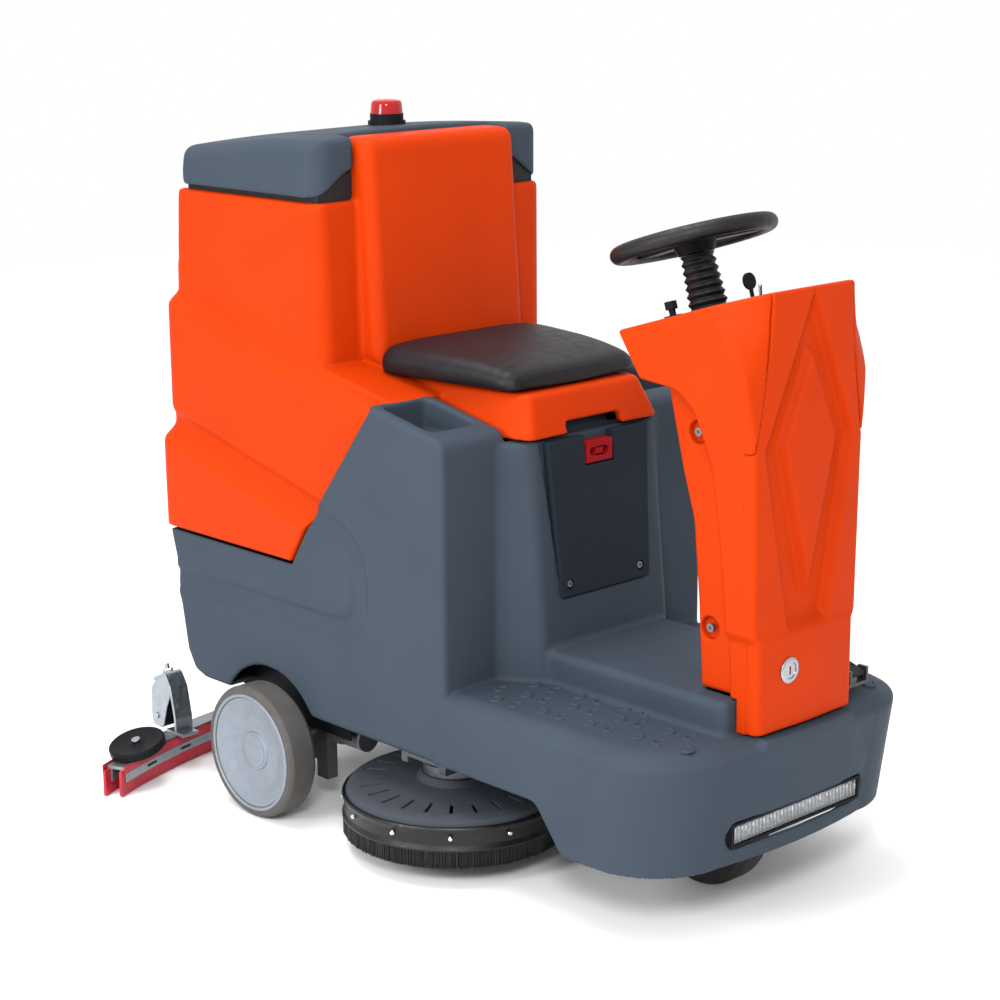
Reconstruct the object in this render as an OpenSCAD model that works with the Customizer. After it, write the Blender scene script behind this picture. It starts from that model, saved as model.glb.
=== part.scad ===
// Ride-on floor scrubber. X is forward, Y is the machine's left, Z is up; the floor is Z = 0.
// Shapes are laid out from the rear axle and then moved so that X = 0 is the middle of the machine.

/* [Overall] */
// Distance from the middle of the machine back to the rear axle
axle_back = 298; // [290:1:310]
// Half width of the lower body
body_half = 325; // [322:1:330]
// Wall thickness of the moulded shells
wall = 8; // [6:1:10]
// Gap at the seams between moulded shells
seam = 3; // [2:0.5:4]

/* [Tank and seat] */
// Half width of the tank tower
tower_half = 278; // [270:1:285]
// Half width of the middle band of the flank
flank_half = 303; // [296:1:308]
// Height of the seam between tank and body
tank_z = 490; // [480:1:500]
// Height of the top edge of the tower
tower_top = 1134; // [1125:1:1140]
// Half width of the backrest panel
back_half = 182; // [170:1:190]
// Height of the top of the backrest
back_top = 1241; // [1236:1:1244]
// Height of the top of the lid
lid_top = 1253; // [1250:1:1258]
// Clear way between the two cup holder blocks, half
pan_half = 168; // [164:1:170]

/* [Deck and cowl] */
// Height of the foot deck
deck_z = 336; // [330:1:340]
// Height of the middle tunnel
tunnel_z = 392; // [385:1:396]
// Reach of the front bumper from the axle
front_x = 1014; // [1010:1:1018]
// Height of the bottom of the bumper
bumper_z = 125; // [115:1:135]
// Half width of the cowl column
cowl_half = 118; // [114:1:120]
// Half width of the dash
dash_half = 153; // [145:1:158]

/* [Wheels] */
// Radius of the rear and drive tyres
tyre_r = 125; // [120:1:130]
// Width of a rear tyre
tyre_w = 62; // [55:1:66]
// Distance from the middle to the outer face of a rear tyre
track_half = 384; // [380:1:390]
// Width of the drive tyre
drive_w = 62; // [56:1:70]
// Distance of the drive wheel ahead of the rear axle
drive_x = 782; // [775:1:790]

/* [Steering] */
// Outer diameter of the steering wheel
steer_d = 280; // [270:1:290]
// Thickness of the steering wheel rim
rim_t = 28; // [24:1:30]
// Lean of the steering column towards the driver, in degrees
column_lean = 18; // [15:1:20]

/* [Brush deck] */
// Distance of the brushes ahead of the rear axle
brush_x = 370; // [360:1:380]
// Distance of each brush from the middle
brush_y = 206; // [205:1:210]
// Radius of the splash skirt
skirt_r = 203; // [200:1:204]
// Height of the bristles above the floor with the deck lifted
brush_lift = 38; // [36:1:45]

/* [Squeegee] */
// Half width of the squeegee
squeegee_half = 516; // [500:1:520]
// Plan radius of the squeegee curve
squeegee_r = 1222; // [1150:1:1300]
// Distance of the middle of the squeegee behind the rear axle
squeegee_back = 374; // [370:1:378]
// Diameter of a wall roller
roller_d = 110; // [96:1:112]

/* [Hidden] */
$fn = 48;

orange = "#ff4d12";
grey = "#566473";
black = "#1c1c1e";
steel = "#9aa0a6";
silver = "#b9bfc6";
red = "#c0132b";

rib_rear_z = 941;
rib_slope = 0.2515;
deck_slope = 0.2;
seam_foot = 60;
seam_bend = [137, 612];
seam_rise = (seam_bend[1] - tank_z) / (seam_bend[0] - seam_foot);
block_rear = 296;
block_front = 475;
block_rear_z = 808;
block_front_z = 772;
block_in = 179;
floor_z = 285;
deck_under = 312;
door_lean = 4.6;
wheel_y = track_half - tyre_w / 2;
steer_centre = [738, 0, 1105];
shaft_foot = 700;
head_top = brush_lift + 108;
column_base = [764, 0, 1004];
dash_angle = 17.2;
dash_rear = [714, 970];
tank_pivot = [-322, 486];
lid_pivot = [-298, 1142];
arm_pivot = [-165, 190];
roller_pos = [-282, 440, 82];
roller_tilt = 15;
caster_pos = [-352, 312];
lever_pos = [76, -100];
key_pos = [110, 58];
toggle_pos = [150, 30];
pedal_pos = [915, 186, 366];

function rib_z(x) = rib_rear_z - rib_slope * (x + 330);
function pan_z(x) = 842 - deck_slope * (x - 120);
function curve_x(y) = -squeegee_back + squeegee_r - sqrt(squeegee_r * squeegee_r - y * y);

// Moves a shape laid out from the rear axle to its place in the machine.
module from_axle() {
  translate([-axle_back, 0, 0]) children();
}

// An outline in X and Z, as wide as twice half, centred on the machine.
module plate(points, half) {
  rotate([90, 0, 0]) linear_extrude(2 * half, center = true) polygon(points);
}

module both_sides() {
  children();
  mirror([0, 1, 0]) children();
}

module rod_y(r, l) {
  rotate([90, 0, 0]) cylinder(r = r, h = l, center = true);
}

module rod_x(r, l) {
  rotate([0, 90, 0]) cylinder(r = r, h = l, center = true);
}

// A box from its low and high corners.
module box(low, high) {
  translate(low) cube(high - low);
}

// ---------------------------------------------------------------- body

// Outside of the tub: the flank below the tank and the two cup holder blocks.
module tub_outside() {
  plate([
    [-310, tank_z - seam], [-294, 430], [-298, 378], [-282, 345], [-262, 250], [-240, 222],
    [-200, 210], [block_front, 206], [block_front, block_front_z], [block_rear, block_rear_z],
    [seam_bend[0] + 5, seam_bend[1] - 4], [seam_foot + 4, tank_z - seam]
  ], body_half);
}

module tub_inside() {
  plate([
    [-298, tank_z - 12], [-284, 430], [-286, 378], [-272, 345], [-258, floor_z],
    [block_front - wall, floor_z], [block_front - wall, block_front_z - 12],
    [block_rear + 6, block_rear_z - 14], [seam_bend[0] + 16, seam_bend[1] - 12],
    [seam_foot + 12, tank_z - 12]
  ], body_half - wall);
}

// Deck with side skirts, and the bumper with its big round corners.
module deck_outside() {
  plate([
    [block_front - 30, 206], [693, 206], [752, bumper_z], [790, bumper_z], [790, deck_z - 18],
    [block_front - 30, deck_z - 18]
  ], body_half);
  plate([[block_front - 30, 300], [790, 300], [790, deck_z], [block_front - 30, deck_z]], body_half - 14);
  hull() {
    translate([0, 0, bumper_z]) bumper_outline(body_half, front_x - 24, 165, 4);
    translate([0, 0, deck_z - 26]) bumper_outline(body_half - 2, front_x, 142, 4);
    translate([0, 0, deck_z - 4]) bumper_outline(body_half - 16, front_x - 8, 130, 4);
  }
}

// Plan outline of the bumper: two round corners and a front that bows out a little.
module bumper_outline(half, reach, r, h) {
  both_sides() translate([reach - 14 - r, half - r, 0]) cylinder(r = r, h = h, $fn = 48);
  translate([reach - 60, 0, 0]) scale([0.3, 1, 1]) cylinder(r = 200, h = h, $fn = 48);
  translate([780, -half, 0]) cube([10, 2 * half, h]);
}

module pedestal_outside() {
  hull() {
    box([300, -196, 745], [block_front, 196, 752]);
    box([300, -158, 745], [512, 158, 752]);
    box([300, -196, deck_z - 20], [block_front + 8, 196, deck_z - 10]);
    box([300, -158, deck_z - 20], [552, 158, deck_z - 10]);
  }
}

module tunnel_outside() {
  plate([
    [500, deck_under - 2], [958, deck_under - 2], [958, deck_z + 2], [950, tunnel_z], [500, tunnel_z]
  ], 148);
}

module door_space(extra) {
  translate([526, 0, 614]) rotate([0, -door_lean, 0])
    rotate([90, 0, 90]) translate([0, 0, -8 - extra])
      linear_extrude(16 + 2 * extra) polygon([
        [-121 - extra, 137 + extra], [121 + extra, 137 + extra],
        [108 + extra, -137 - extra], [-108 - extra, -137 - extra]
      ]);
}

module cup_recess() {
  translate([358, 247, pan_z(358) - 18]) rotate([0, 11.3, 0]) cube([132, 104, 96], center = true);
}

module base_body() {
  color(grey) from_axle() difference() {
    union() {
      difference() {
        union() {
          tub_outside();
          pedestal_outside();
        }
        tub_inside();
        box([-260, -block_in, floor_z], [467, block_in, 900]);
        box([460, -150, floor_z], [502, 150, 735]);
      }
      difference() {
        deck_outside();
        box([400, -body_half + wall, 90], [790, body_half - wall, deck_under]);
        translate([0, 0, 90]) hull() {
          bumper_outline(body_half - wall, front_x - 36, 155, 2);
          translate([0, 0, deck_under - 92]) bumper_outline(body_half - wall - 2, front_x - 12, 130, 2);
        }
      }
      tunnel_outside();
      // trays for the two cup holders
      intersection() {
        tub_outside();
        both_sides() box([284, block_in, 706], [440, body_half - 2, 830]);
      }
    }
    both_sides() cup_recess();
    box([510, -138, 280], [940, 138, tunnel_z - wall]);
    door_space(0.6);
    box([400, -120, 350], [512, 120, 720]);
    // room for the batteries, the seat pan, the charging socket and the side plates of the axle
    box([-260, -block_in, floor_z], [467, block_in, 900]);
    box([460, -block_in, 753], [490, block_in, 900]);
    box([500, -33, 699], [530, 33, 741]);
    both_sides() box([-44, 230, 100], [68, 260, floor_z - wall]);
    // room above the brushes, the rear wheels and the squeegee arm
    box([-240, -235, 100], [block_front + 30, 235, floor_z - wall]);
    box([150, -body_half + wall, 100], [block_front + 30, body_half - wall, floor_z - wall]);
    both_sides() translate([0, track_half - 60, tyre_r]) rod_y(150, 150);
    box([-330, -80, 100], [-200, 80, floor_z - wall]);
    // seat of the steering bearing, and the ledge under the cowl
    translate([drive_x, 0, 250]) cylinder(r = 46, h = 100);
    box([868, -cowl_half + 14, deck_z - 60], [950, cowl_half - 14, 420]);
    // slot for the headlight
    box([950, -166, 158], [1060, 166, 202]);
  }
}

module chassis_frame() {
  color(black) from_axle() difference() {
    union() {
      both_sides() box([-230, 108, 232], [690, 140, 272]);
      box([-230, -200, 232], [-200, 200, 272]);
      box([56, -234, 232], [86, 234, 272]);
      box([660, -200, 232], [690, 200, 272]);
      // side plates that carry the axle
      both_sides() box([-40, 244, 90], [64, 256, 272]);
      both_sides() box([-40, 139, 250], [64, 256, 272]);
      both_sides() box([38, 232, 56], [70, 256, 200]);
      // nose that carries the steering bearing
      both_sides() box([690, 150, 288], [drive_x + 70, 200, 308]);
      box([drive_x - 70, -200, 288], [drive_x + 70, 200, 308]);
      both_sides() box([660, 170, 260], [692, 200, 308]);
      // hinge ears of the squeegee arm
      both_sides() box([-200, 62, 170], [-140, 72, 272]);
      box([-225, -75, 250], [-140, 75, 272]);
    }
    translate([0, 0, tyre_r]) rod_y(12.5, 700);
    translate([drive_x, 0, 250]) cylinder(r = 36.05, h = 100);
    translate([arm_pivot[0], 0, arm_pivot[1]]) rod_y(10.05, 400);
  }
}

module rear_axle() {
  color(steel) from_axle() union() {
    translate([0, 0, tyre_r]) rod_y(12.45, 2 * track_half - 44);
    both_sides() translate([0, 266, tyre_r]) rod_y(22, 16);
  }
}

module wheel_bearings() {
  color(steel) from_axle() both_sides() for (y = [wheel_y - 20, wheel_y + 6])
    translate([0, y, tyre_r]) difference() {
      rod_y(26, 14);
      rod_y(12.5, 30);
    }
}

module battery_door() {
  color("#3c434e") from_axle() difference() {
    door_space(0);
    translate([526, 0, 732]) cube([60, 72, 70], center = true);
    both_sides() translate([541, 88, 498]) rotate([0, 90 - door_lean, 0]) cylinder(r = 9, h = 12, center = true);
  }
}

module cap_screw(r) {
  difference() {
    cylinder(r = r, h = 6);
    translate([0, 0, 3]) cylinder(r = r / 2, h = 4, $fn = 6);
  }
}

module body_screws() {
  color(steel) from_axle() union() {
    both_sides() translate([535.1, 88, 498.4]) rotate([0, 90 - door_lean, 0]) cap_screw(6);
    both_sides() for (p = [[853, 818], [884, 499]])
      translate([p[0], cowl_half - 12.02, p[1]]) rotate([-90, 0, 0]) cap_screw(7);
  }
}

module charge_socket() {
  color(red) from_axle() difference() {
    box([503, -32, 700], [526, 32, 738]);
    for (y = [-16, 16]) translate([518, y, 719]) rod_x(7, 30);
  }
}

module batteries() {
  color("#23252a") from_axle() for (x = [72, 268], y = [-164, 4]) union() {
    box([x, y, floor_z + 1], [x + 190, y + 160, floor_z + 236]);
    box([x + 8, y + 8, floor_z + 235], [x + 182, y + 152, floor_z + 250]);
    for (dx = [40, 150]) translate([x + dx, y + 80, floor_z + 249]) cylinder(r = 9, h = 16);
  }
}

module vacuum_motor() {
  color(steel) from_axle() translate([-130, 60, 0]) union() {
    translate([0, 0, floor_z + 1]) cylinder(r = 72, h = 60);
    translate([0, 0, floor_z + 60]) cylinder(r = 52, h = 100);
    translate([0, 0, floor_z + 160]) cylinder(r = 24, h = 20);
  }
}

module solution_pump() {
  color("#7d8288") from_axle() translate([0, -222, 148]) union() {
    translate([112, 0, 0]) rod_x(24, 76);
    translate([76, 0, 0]) rod_x(27, 10);
    translate([120, 0, 50]) box([-14, -10, -30], [14, 10, 34]);
  }
}

module motor_controller() {
  color("#2d3138") from_axle() union() {
    box([-240, -170, floor_z + 1], [-60, -40, floor_z + 60]);
    for (y = [-160:20:-50]) box([-236, y, floor_z + 60], [-64, y + 6, floor_z + 80]);
  }
}

// ---------------------------------------------------------------- cowl

module cowl_column(inset) {
  plate([
    [864 + inset, tunnel_z + seam], [854 + inset, 540], [843 + inset, 672], [816 + inset, 752],
    [790 + inset, 866 + inset], [790 + inset, 985 - inset], [972 - inset, 1042 - inset],
    [978 - inset, deck_z + seam], [962, deck_z + seam], [962, tunnel_z + seam]
  ], cowl_half - inset);
}

// Side outline of the dash and the curved knee below it.
module dash_outline(inset, half) {
  plate([
    [dash_rear[0] + inset, dash_rear[1] - inset], [960 - inset, 1046 - inset], [976 - inset, 1040 - inset],
    [976 - inset, 760], [896 + inset, 760], [878 + inset, 836], [866 + inset, 862 + inset],
    [846 + inset, 880 + inset], [820 + inset, 890 + inset], [761 + inset, 897 + inset]
  ], half);
}

// The dash is widest at its top and runs out into the column below.
module cowl_wings(inset) {
  intersection() {
    dash_outline(inset, dash_half);
    hull() {
      box([690, -dash_half + inset, 1040], [958 - inset, dash_half - inset, 1060]);
      box([690, -104 + inset, 1040], [990 - inset, 104 - inset, 1060]);
      box([690, -dash_half + inset, 750], [836 - inset, dash_half - inset, 760]);
      box([690, -cowl_half - 3 + inset, 750], [990 - inset, cowl_half + 3 - inset, 760]);
    }
  }
}

module cowl_shell() {
  color(orange) from_axle() difference() {
    union() {
      cowl_column(0);
      cowl_wings(0);
    }
    cowl_column(6);
    cowl_wings(6);
    box([955, -98, deck_z], [1000, 98, 1030]);
    box([856, -100, 370], [990, 100, 420]);
    // holes for the two body screws of each side
    both_sides() for (p = [[853, 818], [884, 499]])
      translate([p[0], cowl_half, p[1]]) rod_y(4.6, 30);
    // the way for the column
    on_column() translate([0, 0, -330]) cylinder(r = 23, h = 220);
    // the dash opening
    translate([dash_rear[0], 0, dash_rear[1]]) rotate([0, -dash_angle, 0])
      box([34, -118, -12], [226, 118, 12]);
  }
}

module front_rib(y1, z1, y2, z2, w) {
  d = sqrt((y2 - y1) * (y2 - y1) + (z2 - z1) * (z2 - z1));
  a = atan2(z2 - z1, y2 - y1);
  translate([984, y1, z1]) rotate([a, 0, 0]) translate([0, 0, -w / 2]) cube([18, d, w]);
}

module cowl_front() {
  color(orange) from_axle() difference() {
    union() {
      rotate([90, 0, 90]) translate([0, 0, 980]) linear_extrude(15) polygon([
        [-123, deck_z + seam], [123, deck_z + seam], [129, 800], [101, 1057], [-101, 1057],
        [-129, 800]
      ]);
      // diamond and the two long ribs beside it
      both_sides() {
        front_rib(0, 955, 44, 780, 14);
        front_rib(44, 780, 0, 600, 14);
        front_rib(48, 1045, 106, 800, 16);
        front_rib(106, 800, 60, 450, 16);
      }
    }
    translate([980, -48, 439]) rod_x(11.3, 60);
    translate([1000, -48, 439]) rod_x(14.4, 9);
  }
}

module cowl_lock() {
  color(silver) from_axle() translate([0, -48, 439]) difference() {
    union() {
      translate([985, 0, 0]) rod_x(11, 24);
      translate([997.5, 0, 0]) rod_x(14, 4);
      box([973, -8, -34], [976, 8, 8]);
    }
    box([997, -2, -7], [1004, 2, 7]);
  }
}

module on_dash() {
  translate([dash_rear[0], 0, dash_rear[1]]) rotate([0, -dash_angle, 0]) children();
}

module dash_panel() {
  color(black) from_axle() on_dash() difference() {
    union() {
      box([35, -117, -9], [225, 117, -1]);
      // display
      box([168, -60, -2], [215, 60, 3]);
      // collar of the column
      translate([52, 0, 0.05]) cylinder(r = 42, h = 4);
      intersection() {
        translate([52, 0, -4]) cylinder(r = 42, h = 8);
        box([35, -60, -5], [120, 60, 5]);
      }
      // barrels of the key and of the toggle
      translate([key_pos[0], key_pos[1], -20]) cylinder(r = 12, h = 24);
      translate([toggle_pos[0], toggle_pos[1], -20]) cylinder(r = 8, h = 24);
      translate([lever_pos[0], lever_pos[1], -14]) cylinder(r = 15, h = 18);
    }
    translate([52, 0, -20]) cylinder(r = 36, h = 40);
    translate([key_pos[0], key_pos[1], -12]) cylinder(r = 5.05, h = 30);
    translate([toggle_pos[0], toggle_pos[1], -8]) cylinder(r = 5, h = 30);
    translate([lever_pos[0], lever_pos[1], -9]) cylinder(r = 9, h = 40);
  }
}

module on_column() {
  translate(steer_centre) rotate([0, -column_lean, 0]) children();
}

module steering_column() {
  color(black) from_axle() difference() {
    union() {
      on_column() translate([0, 0, -shaft_foot]) cylinder(r = 22, h = shaft_foot - 80);
      // foot box with the chain drive down to the fork
      box([896, -40, 405], [960, 40, 470]);
      box([drive_x - 34, -30, 330], [940, 30, 350]);
      box([900, -30, 330], [940, 30, 410]);
    }
    on_column() translate([0, 0, -shaft_foot + 20]) cylinder(r = 13.05, h = shaft_foot + 40);
    translate([drive_x, 0, 300]) cylinder(r = 24, h = 80);
  }
}

// Corrugated sleeve round the column.
module column_bellows() {
  folds = 7;
  height = 92;
  color(black) from_axle() on_column() translate([0, 0, -118]) rotate_extrude()
    polygon(concat(
      [[24, 0]],
      [for (i = [0 : 2 * folds]) [i % 2 == 0 ? 34 - i * 0.35 : 29 - i * 0.35, i * height / (2 * folds)]],
      [[24, height]]
    ));
}

module steering_rim() {
  color(black) from_axle() on_column() difference() {
    rotate_extrude($fn = 64) translate([steer_d / 2 - rim_t / 2, 0]) circle(r = rim_t / 2, $fn = 32);
    rotate_extrude($fn = 64) translate([steer_d / 2 - rim_t / 2, 0]) circle(r = 5, $fn = 16);
  }
}

module steering_hub() {
  color(black) from_axle() on_column() union() {
    translate([0, 0, -24]) cylinder(r1 = 30, r2 = 42, h = 30);
    translate([0, 0, 5.9]) cylinder(r1 = 42, r2 = 34, h = 8);
    difference() {
      for (a = [0, 120, 240]) rotate([0, 0, a + 60]) box([30, -17, -8], [steer_d / 2 - rim_t + 1.5, 17, 2]);
      rotate_extrude($fn = 64) translate([steer_d / 2 - rim_t / 2, 0]) circle(r = rim_t / 2 + 0.02, $fn = 32);
    }
    translate([0, 0, -shaft_foot + 20.4]) cylinder(r = 13, h = shaft_foot - 42.4);
  }
}

module ignition_key() {
  color(black) from_axle() on_dash() translate([key_pos[0], key_pos[1], 0]) union() {
    translate([0, 0, -10]) cylinder(r = 5, h = 16);
    box([-1.2, -4, 5], [1.2, 4, 24]);
    translate([0, 0, 36]) rod_x(14, 5);
  }
}

module toggle_switch() {
  color(silver) from_axle() on_dash() translate([toggle_pos[0], toggle_pos[1], 0]) rotate([0, 12, 0]) union() {
    translate([0, 0, -2]) cylinder(r1 = 2.2, r2 = 3.4, h = 26);
    translate([0, 0, 24]) sphere(r = 3.4, $fn = 24);
  }
}

module direction_lever() {
  color(black) from_axle() on_dash() translate([lever_pos[0], lever_pos[1], 0]) union() {
    sphere(r = 7.5, $fn = 24);
    cylinder(r1 = 5, r2 = 6, h = 16);
    translate([0, 0, 14]) cylinder(r = 10, h = 13);
  }
}

// ---------------------------------------------------------------- pedal

module pedal_bracket() {
  color(black) from_axle() translate(pedal_pos) difference() {
    union() {
      box([-34, 148.02 - pedal_pos[1], -17], [44, 26, -11]);
      both_sides() box([24, 19, -12], [44, 25, 12]);
    }
    translate([34, 0, 2]) rod_y(4.05, 80);
  }
}

module drive_pedal() {
  color(black) from_axle() translate(pedal_pos) union() {
    translate([34, 0, 2]) rod_y(4, 48);
    translate([34, 0, 2]) rotate([0, 18, 0]) difference() {
      box([-96, -17, -3], [6, 17, 5]);
      for (i = [0 : 6]) box([-92 + i * 12, -14, 3.5], [-86 + i * 12, 14, 8]);
    }
  }
}

// ---------------------------------------------------------------- lights

module headlight_housing() {
  color(black) from_axle() difference() {
    plate([[950, 159], [982, 159], [984, 201], [950, 201]], 165);
    box([958, -158, 164], [1010, 158, 196]);
  }
}

module headlight_lens() {
  color("#dfe6ee") from_axle() difference() {
    box([959, -157, 165], [980, 157, 195]);
    box([950, -153, 169], [976, 153, 191]);
  }
}

// ---------------------------------------------------------------- drive wheel

module drive_fork() {
  color("#2b2d31") from_axle() difference() {
    union() {
      both_sides() translate([drive_x, 0, 0]) box([-34, drive_w / 2 + 6, 96], [34, drive_w / 2 + 18, 276]);
      translate([drive_x, 0, 262]) cylinder(r = 74, h = 16);
      translate([drive_x, 0, 270]) cylinder(r = 36, h = 42);
      translate([drive_x, 0, 311.5]) cylinder(r = 20, h = 14);
      // chain wheel
      translate([drive_x, 0, 312]) cylinder(r = 44, h = 8);
    }
    translate([drive_x, 0, tyre_r]) rod_y(12.05, 300);
  }
}

module drive_tyre() {
  color(black) from_axle() translate([drive_x, 0, tyre_r]) rotate([90, 0, 0]) rotate_extrude()
    polygon([
      [88, -drive_w / 2 + 6], [96, -drive_w / 2], [116, -drive_w / 2], [tyre_r, -drive_w / 2 + 9],
      [tyre_r, drive_w / 2 - 9], [116, drive_w / 2], [96, drive_w / 2], [88, drive_w / 2 - 6]
    ]);
}

module drive_hub() {
  color("#6d7278") from_axle() translate([drive_x, 0, tyre_r]) rotate([90, 0, 0]) union() {
    rotate_extrude() polygon([
      [0, -36], [52, -36], [58, -30], [80, -30], [87.9, -34], [87.9, 34], [80, 30], [58, 30],
      [52, 36], [0, 36]
    ]);
    cylinder(r = 12, h = drive_w + 40, center = true);
  }
}

// ---------------------------------------------------------------- rear wheels

module rear_tyre(side) {
  color("#8a8883") from_axle() translate([0, side * wheel_y, tyre_r]) rotate([90, 0, 0]) rotate_extrude()
    polygon([
      [96, -tyre_w / 2 + 2], [99, -tyre_w / 2], [118, -tyre_w / 2], [tyre_r, -tyre_w / 2 + 7],
      [tyre_r, tyre_w / 2 - 7], [118, tyre_w / 2], [99, tyre_w / 2], [96, tyre_w / 2 - 2]
    ]);
}

module rear_rim(side) {
  color(silver) from_axle() translate([0, side * wheel_y, tyre_r]) rotate([-90 * side, 0, 0]) union() {
    difference() {
      rotate_extrude() polygon([
        [26.05, -28], [40, -28], [42, 6], [88, 6], [90, -28], [95.9, -28], [95.9, 29], [88, 29],
        [82, 20], [44, 14], [26.05, 14]
      ]);
    }
    // hub cap
    translate([0, 0, 14]) cylinder(r = 27, h = 8);
    translate([0, 0, 21.9]) cylinder(r1 = 27, r2 = 23, h = 3);
  }
}

module rear_tyre_right() { rear_tyre(-1); }
module rear_tyre_left() { rear_tyre(1); }
module rear_rim_right() { rear_rim(-1); }
module rear_rim_left() { rear_rim(1); }

// ---------------------------------------------------------------- brush deck

module brush_deck_frame() {
  color(black) from_axle() translate([brush_x, 0, 0]) union() {
    box([-40, -250, head_top + 32], [40, 250, head_top + 40]);
    both_sides() box([-58, 130, head_top + 20], [-42, 282, head_top + 33]);
    both_sides() box([42, 130, head_top + 20], [58, 282, head_top + 33]);
    both_sides() box([-58, 130, head_top + 32], [58, 150, head_top + 40]);
    both_sides() box([-58, 262, head_top + 32], [58, 282, head_top + 40]);
    // guide posts of the lift
    both_sides() translate([-110, 90, head_top + 32]) cylinder(r = 10, h = 82);
    both_sides() box([-120, 80, head_top + 32], [-38, 100, head_top + 40]);
  }
}

module brush_cover(side) {
  color("#4a5058") from_axle() translate([brush_x, side * brush_y, brush_lift]) difference() {
    rotate_extrude($fn = 64) polygon([
      [40, 108], [62, 108], [70, 96], [182, 90], [192, 84], [197, 74], [197, 52], [192, 52],
      [192, 70], [180, 84], [70, 89], [60, 100], [40, 100]
    ]);
    for (a = [0 : 15 : 345]) rotate([0, 0, a]) box([130, -3, 70], [172, 3, 110]);
  }
}

module brush_cover_right() { brush_cover(-1); }
module brush_cover_left() { brush_cover(1); }

// Band with its fringe of short bristles.
module splash_skirt(side) {
  color(black) from_axle() translate([brush_x, side * brush_y, brush_lift]) rotate_extrude($fn = 64) polygon([
    [197.3, 72], [skirt_r, 72], [skirt_r, 34], [201, 30], [200, 0], [192, 0], [193, 30], [197.3, 34]
  ]);
}

module splash_skirt_right() { splash_skirt(-1); }
module splash_skirt_left() { splash_skirt(1); }

module skirt_screws() {
  color(silver) from_axle() for (side = [-1, 1], a = [0 : 30 : 330])
    translate([brush_x, side * brush_y, brush_lift + 56]) rotate([0, 0, side * (a + 15)])
      translate([skirt_r, 0, 0]) rotate([0, 90, 0]) cylinder(r1 = 4.5, r2 = 3, h = 2.2);
}

module brush_motors() {
  color(steel) from_axle() both_sides() translate([brush_x, brush_y, 0]) union() {
    translate([0, 0, head_top + 1]) cylinder(r = 58, h = 18);
    translate([0, 0, head_top + 18]) cylinder(r = 40, h = 14);
    translate([0, 0, head_top + 40.5]) cylinder(r = 52, h = 76);
    translate([0, 0, head_top + 116]) cylinder(r = 40, h = 8);
    translate([0, 0, head_top - 20]) cylinder(r = 14, h = 24);
  }
}

// Turning brush: disc, hub and the ring of bristles.
module brush(side) {
  color("#222226") from_axle() translate([brush_x, side * brush_y, brush_lift]) difference() {
    union() {
      translate([0, 0, 42]) cylinder(r = 182, h = 16);
      translate([0, 0, 57]) cylinder(r = 34, h = 36);
      rotate_extrude($fn = 64) polygon([[80, 1], [186, 1], [180, 43], [84, 43]]);
    }
    translate([0, 0, 84]) cylinder(r = 14.1, h = 40);
    for (a = [0 : 60 : 300]) rotate([0, 0, a]) translate([58, 0, 30]) cylinder(r = 12, h = 60);
  }
}

module brush_right() { brush(-1); }
module brush_left() { brush(1); }

// ---------------------------------------------------------------- squeegee

// A strip that follows the squeegee curve, from its inner to its outer radius.
module squeegee_strip(r_in, r_out, z1, z2, half) {
  a = asin(half / squeegee_r);
  translate([squeegee_r - squeegee_back, 0, 0]) rotate([0, 0, 180 - a])
    rotate_extrude(angle = 2 * a, $fn = 180)
      translate([squeegee_r + r_in, z1]) square([r_out - r_in, z2 - z1]);
}

module squeegee_channel() {
  color("#a9adb2") from_axle() difference() {
    union() {
      squeegee_strip(-20, 20, 52, 58, squeegee_half - 14);
      squeegee_strip(-18, 18, 57, 66, 384);
      squeegee_strip(-13, -9, 26, 55, squeegee_half - 16);
      squeegee_strip(9, 13, 26, 55, squeegee_half - 16);
      // bosses that carry the rollers
      both_sides() translate([roller_pos[0], roller_pos[1], 0]) box([-12, -12, 55], [12, 12, 63]);
    }
    translate([-squeegee_back, 0, 0]) cylinder(r = 8, h = 120);
    both_sides() translate(roller_pos) rotate([-roller_tilt, 0, 0]) translate([0, 0, -22])
      cylinder(r = 5.02, h = 40);
  }
}

module squeegee_blade_front() {
  color(red) from_axle() squeegee_strip(-19, -13.3, 3, 51.9, squeegee_half - 4);
}

module squeegee_blade_rear() {
  color(red) from_axle() squeegee_strip(13.3, 19, 2, 51.9, squeegee_half);
}

module at_roller(side) {
  translate([roller_pos[0], side * roller_pos[1], roller_pos[2]])
    rotate([side * -roller_tilt, 0, 0]) children();
}

module roller(side) {
  color(black) from_axle() at_roller(side) difference() {
    rotate_extrude() polygon([
      [5.1, -3], [14, -3], [20, -6], [40, -9], [roller_d / 2 - 3, -9], [roller_d / 2, -6],
      [roller_d / 2, 6], [roller_d / 2 - 3, 9], [40, 7], [16, 5], [14, 7], [5.1, 7]
    ]);
  }
}

module roller_right() { roller(-1); }
module roller_left() { roller(1); }

// Zinc plated forks behind the squeegee, their stems, and the roller bolts.
module caster_forks() {
  color(steel) from_axle() both_sides() {
    difference() {
      union() {
        translate([caster_pos[0], caster_pos[1], 0]) {
          both_sides() box([-38, 15, 66], [14, 18, 150]);
          box([-38, -18, 147], [14, 18, 150]);
          translate([6, 0, 150]) cylinder(r = 14, h = 26);
          translate([6, 0, 175]) cylinder(r = 5, h = 22);
          box([-6, -15.5, 66.5], [14, 15.5, 70]);
        }
      }
      translate([caster_pos[0] - 20, caster_pos[1], 92]) rod_y(5.05, 60);
    }
    translate([roller_pos[0], roller_pos[1], roller_pos[2]]) rotate([-roller_tilt, 0, 0]) {
      translate([0, 0, -20]) cylinder(r = 5, h = 30);
      translate([0, 0, 8.5]) cylinder(r = 9, h = 5, $fn = 6);
    }
  }
}

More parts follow.
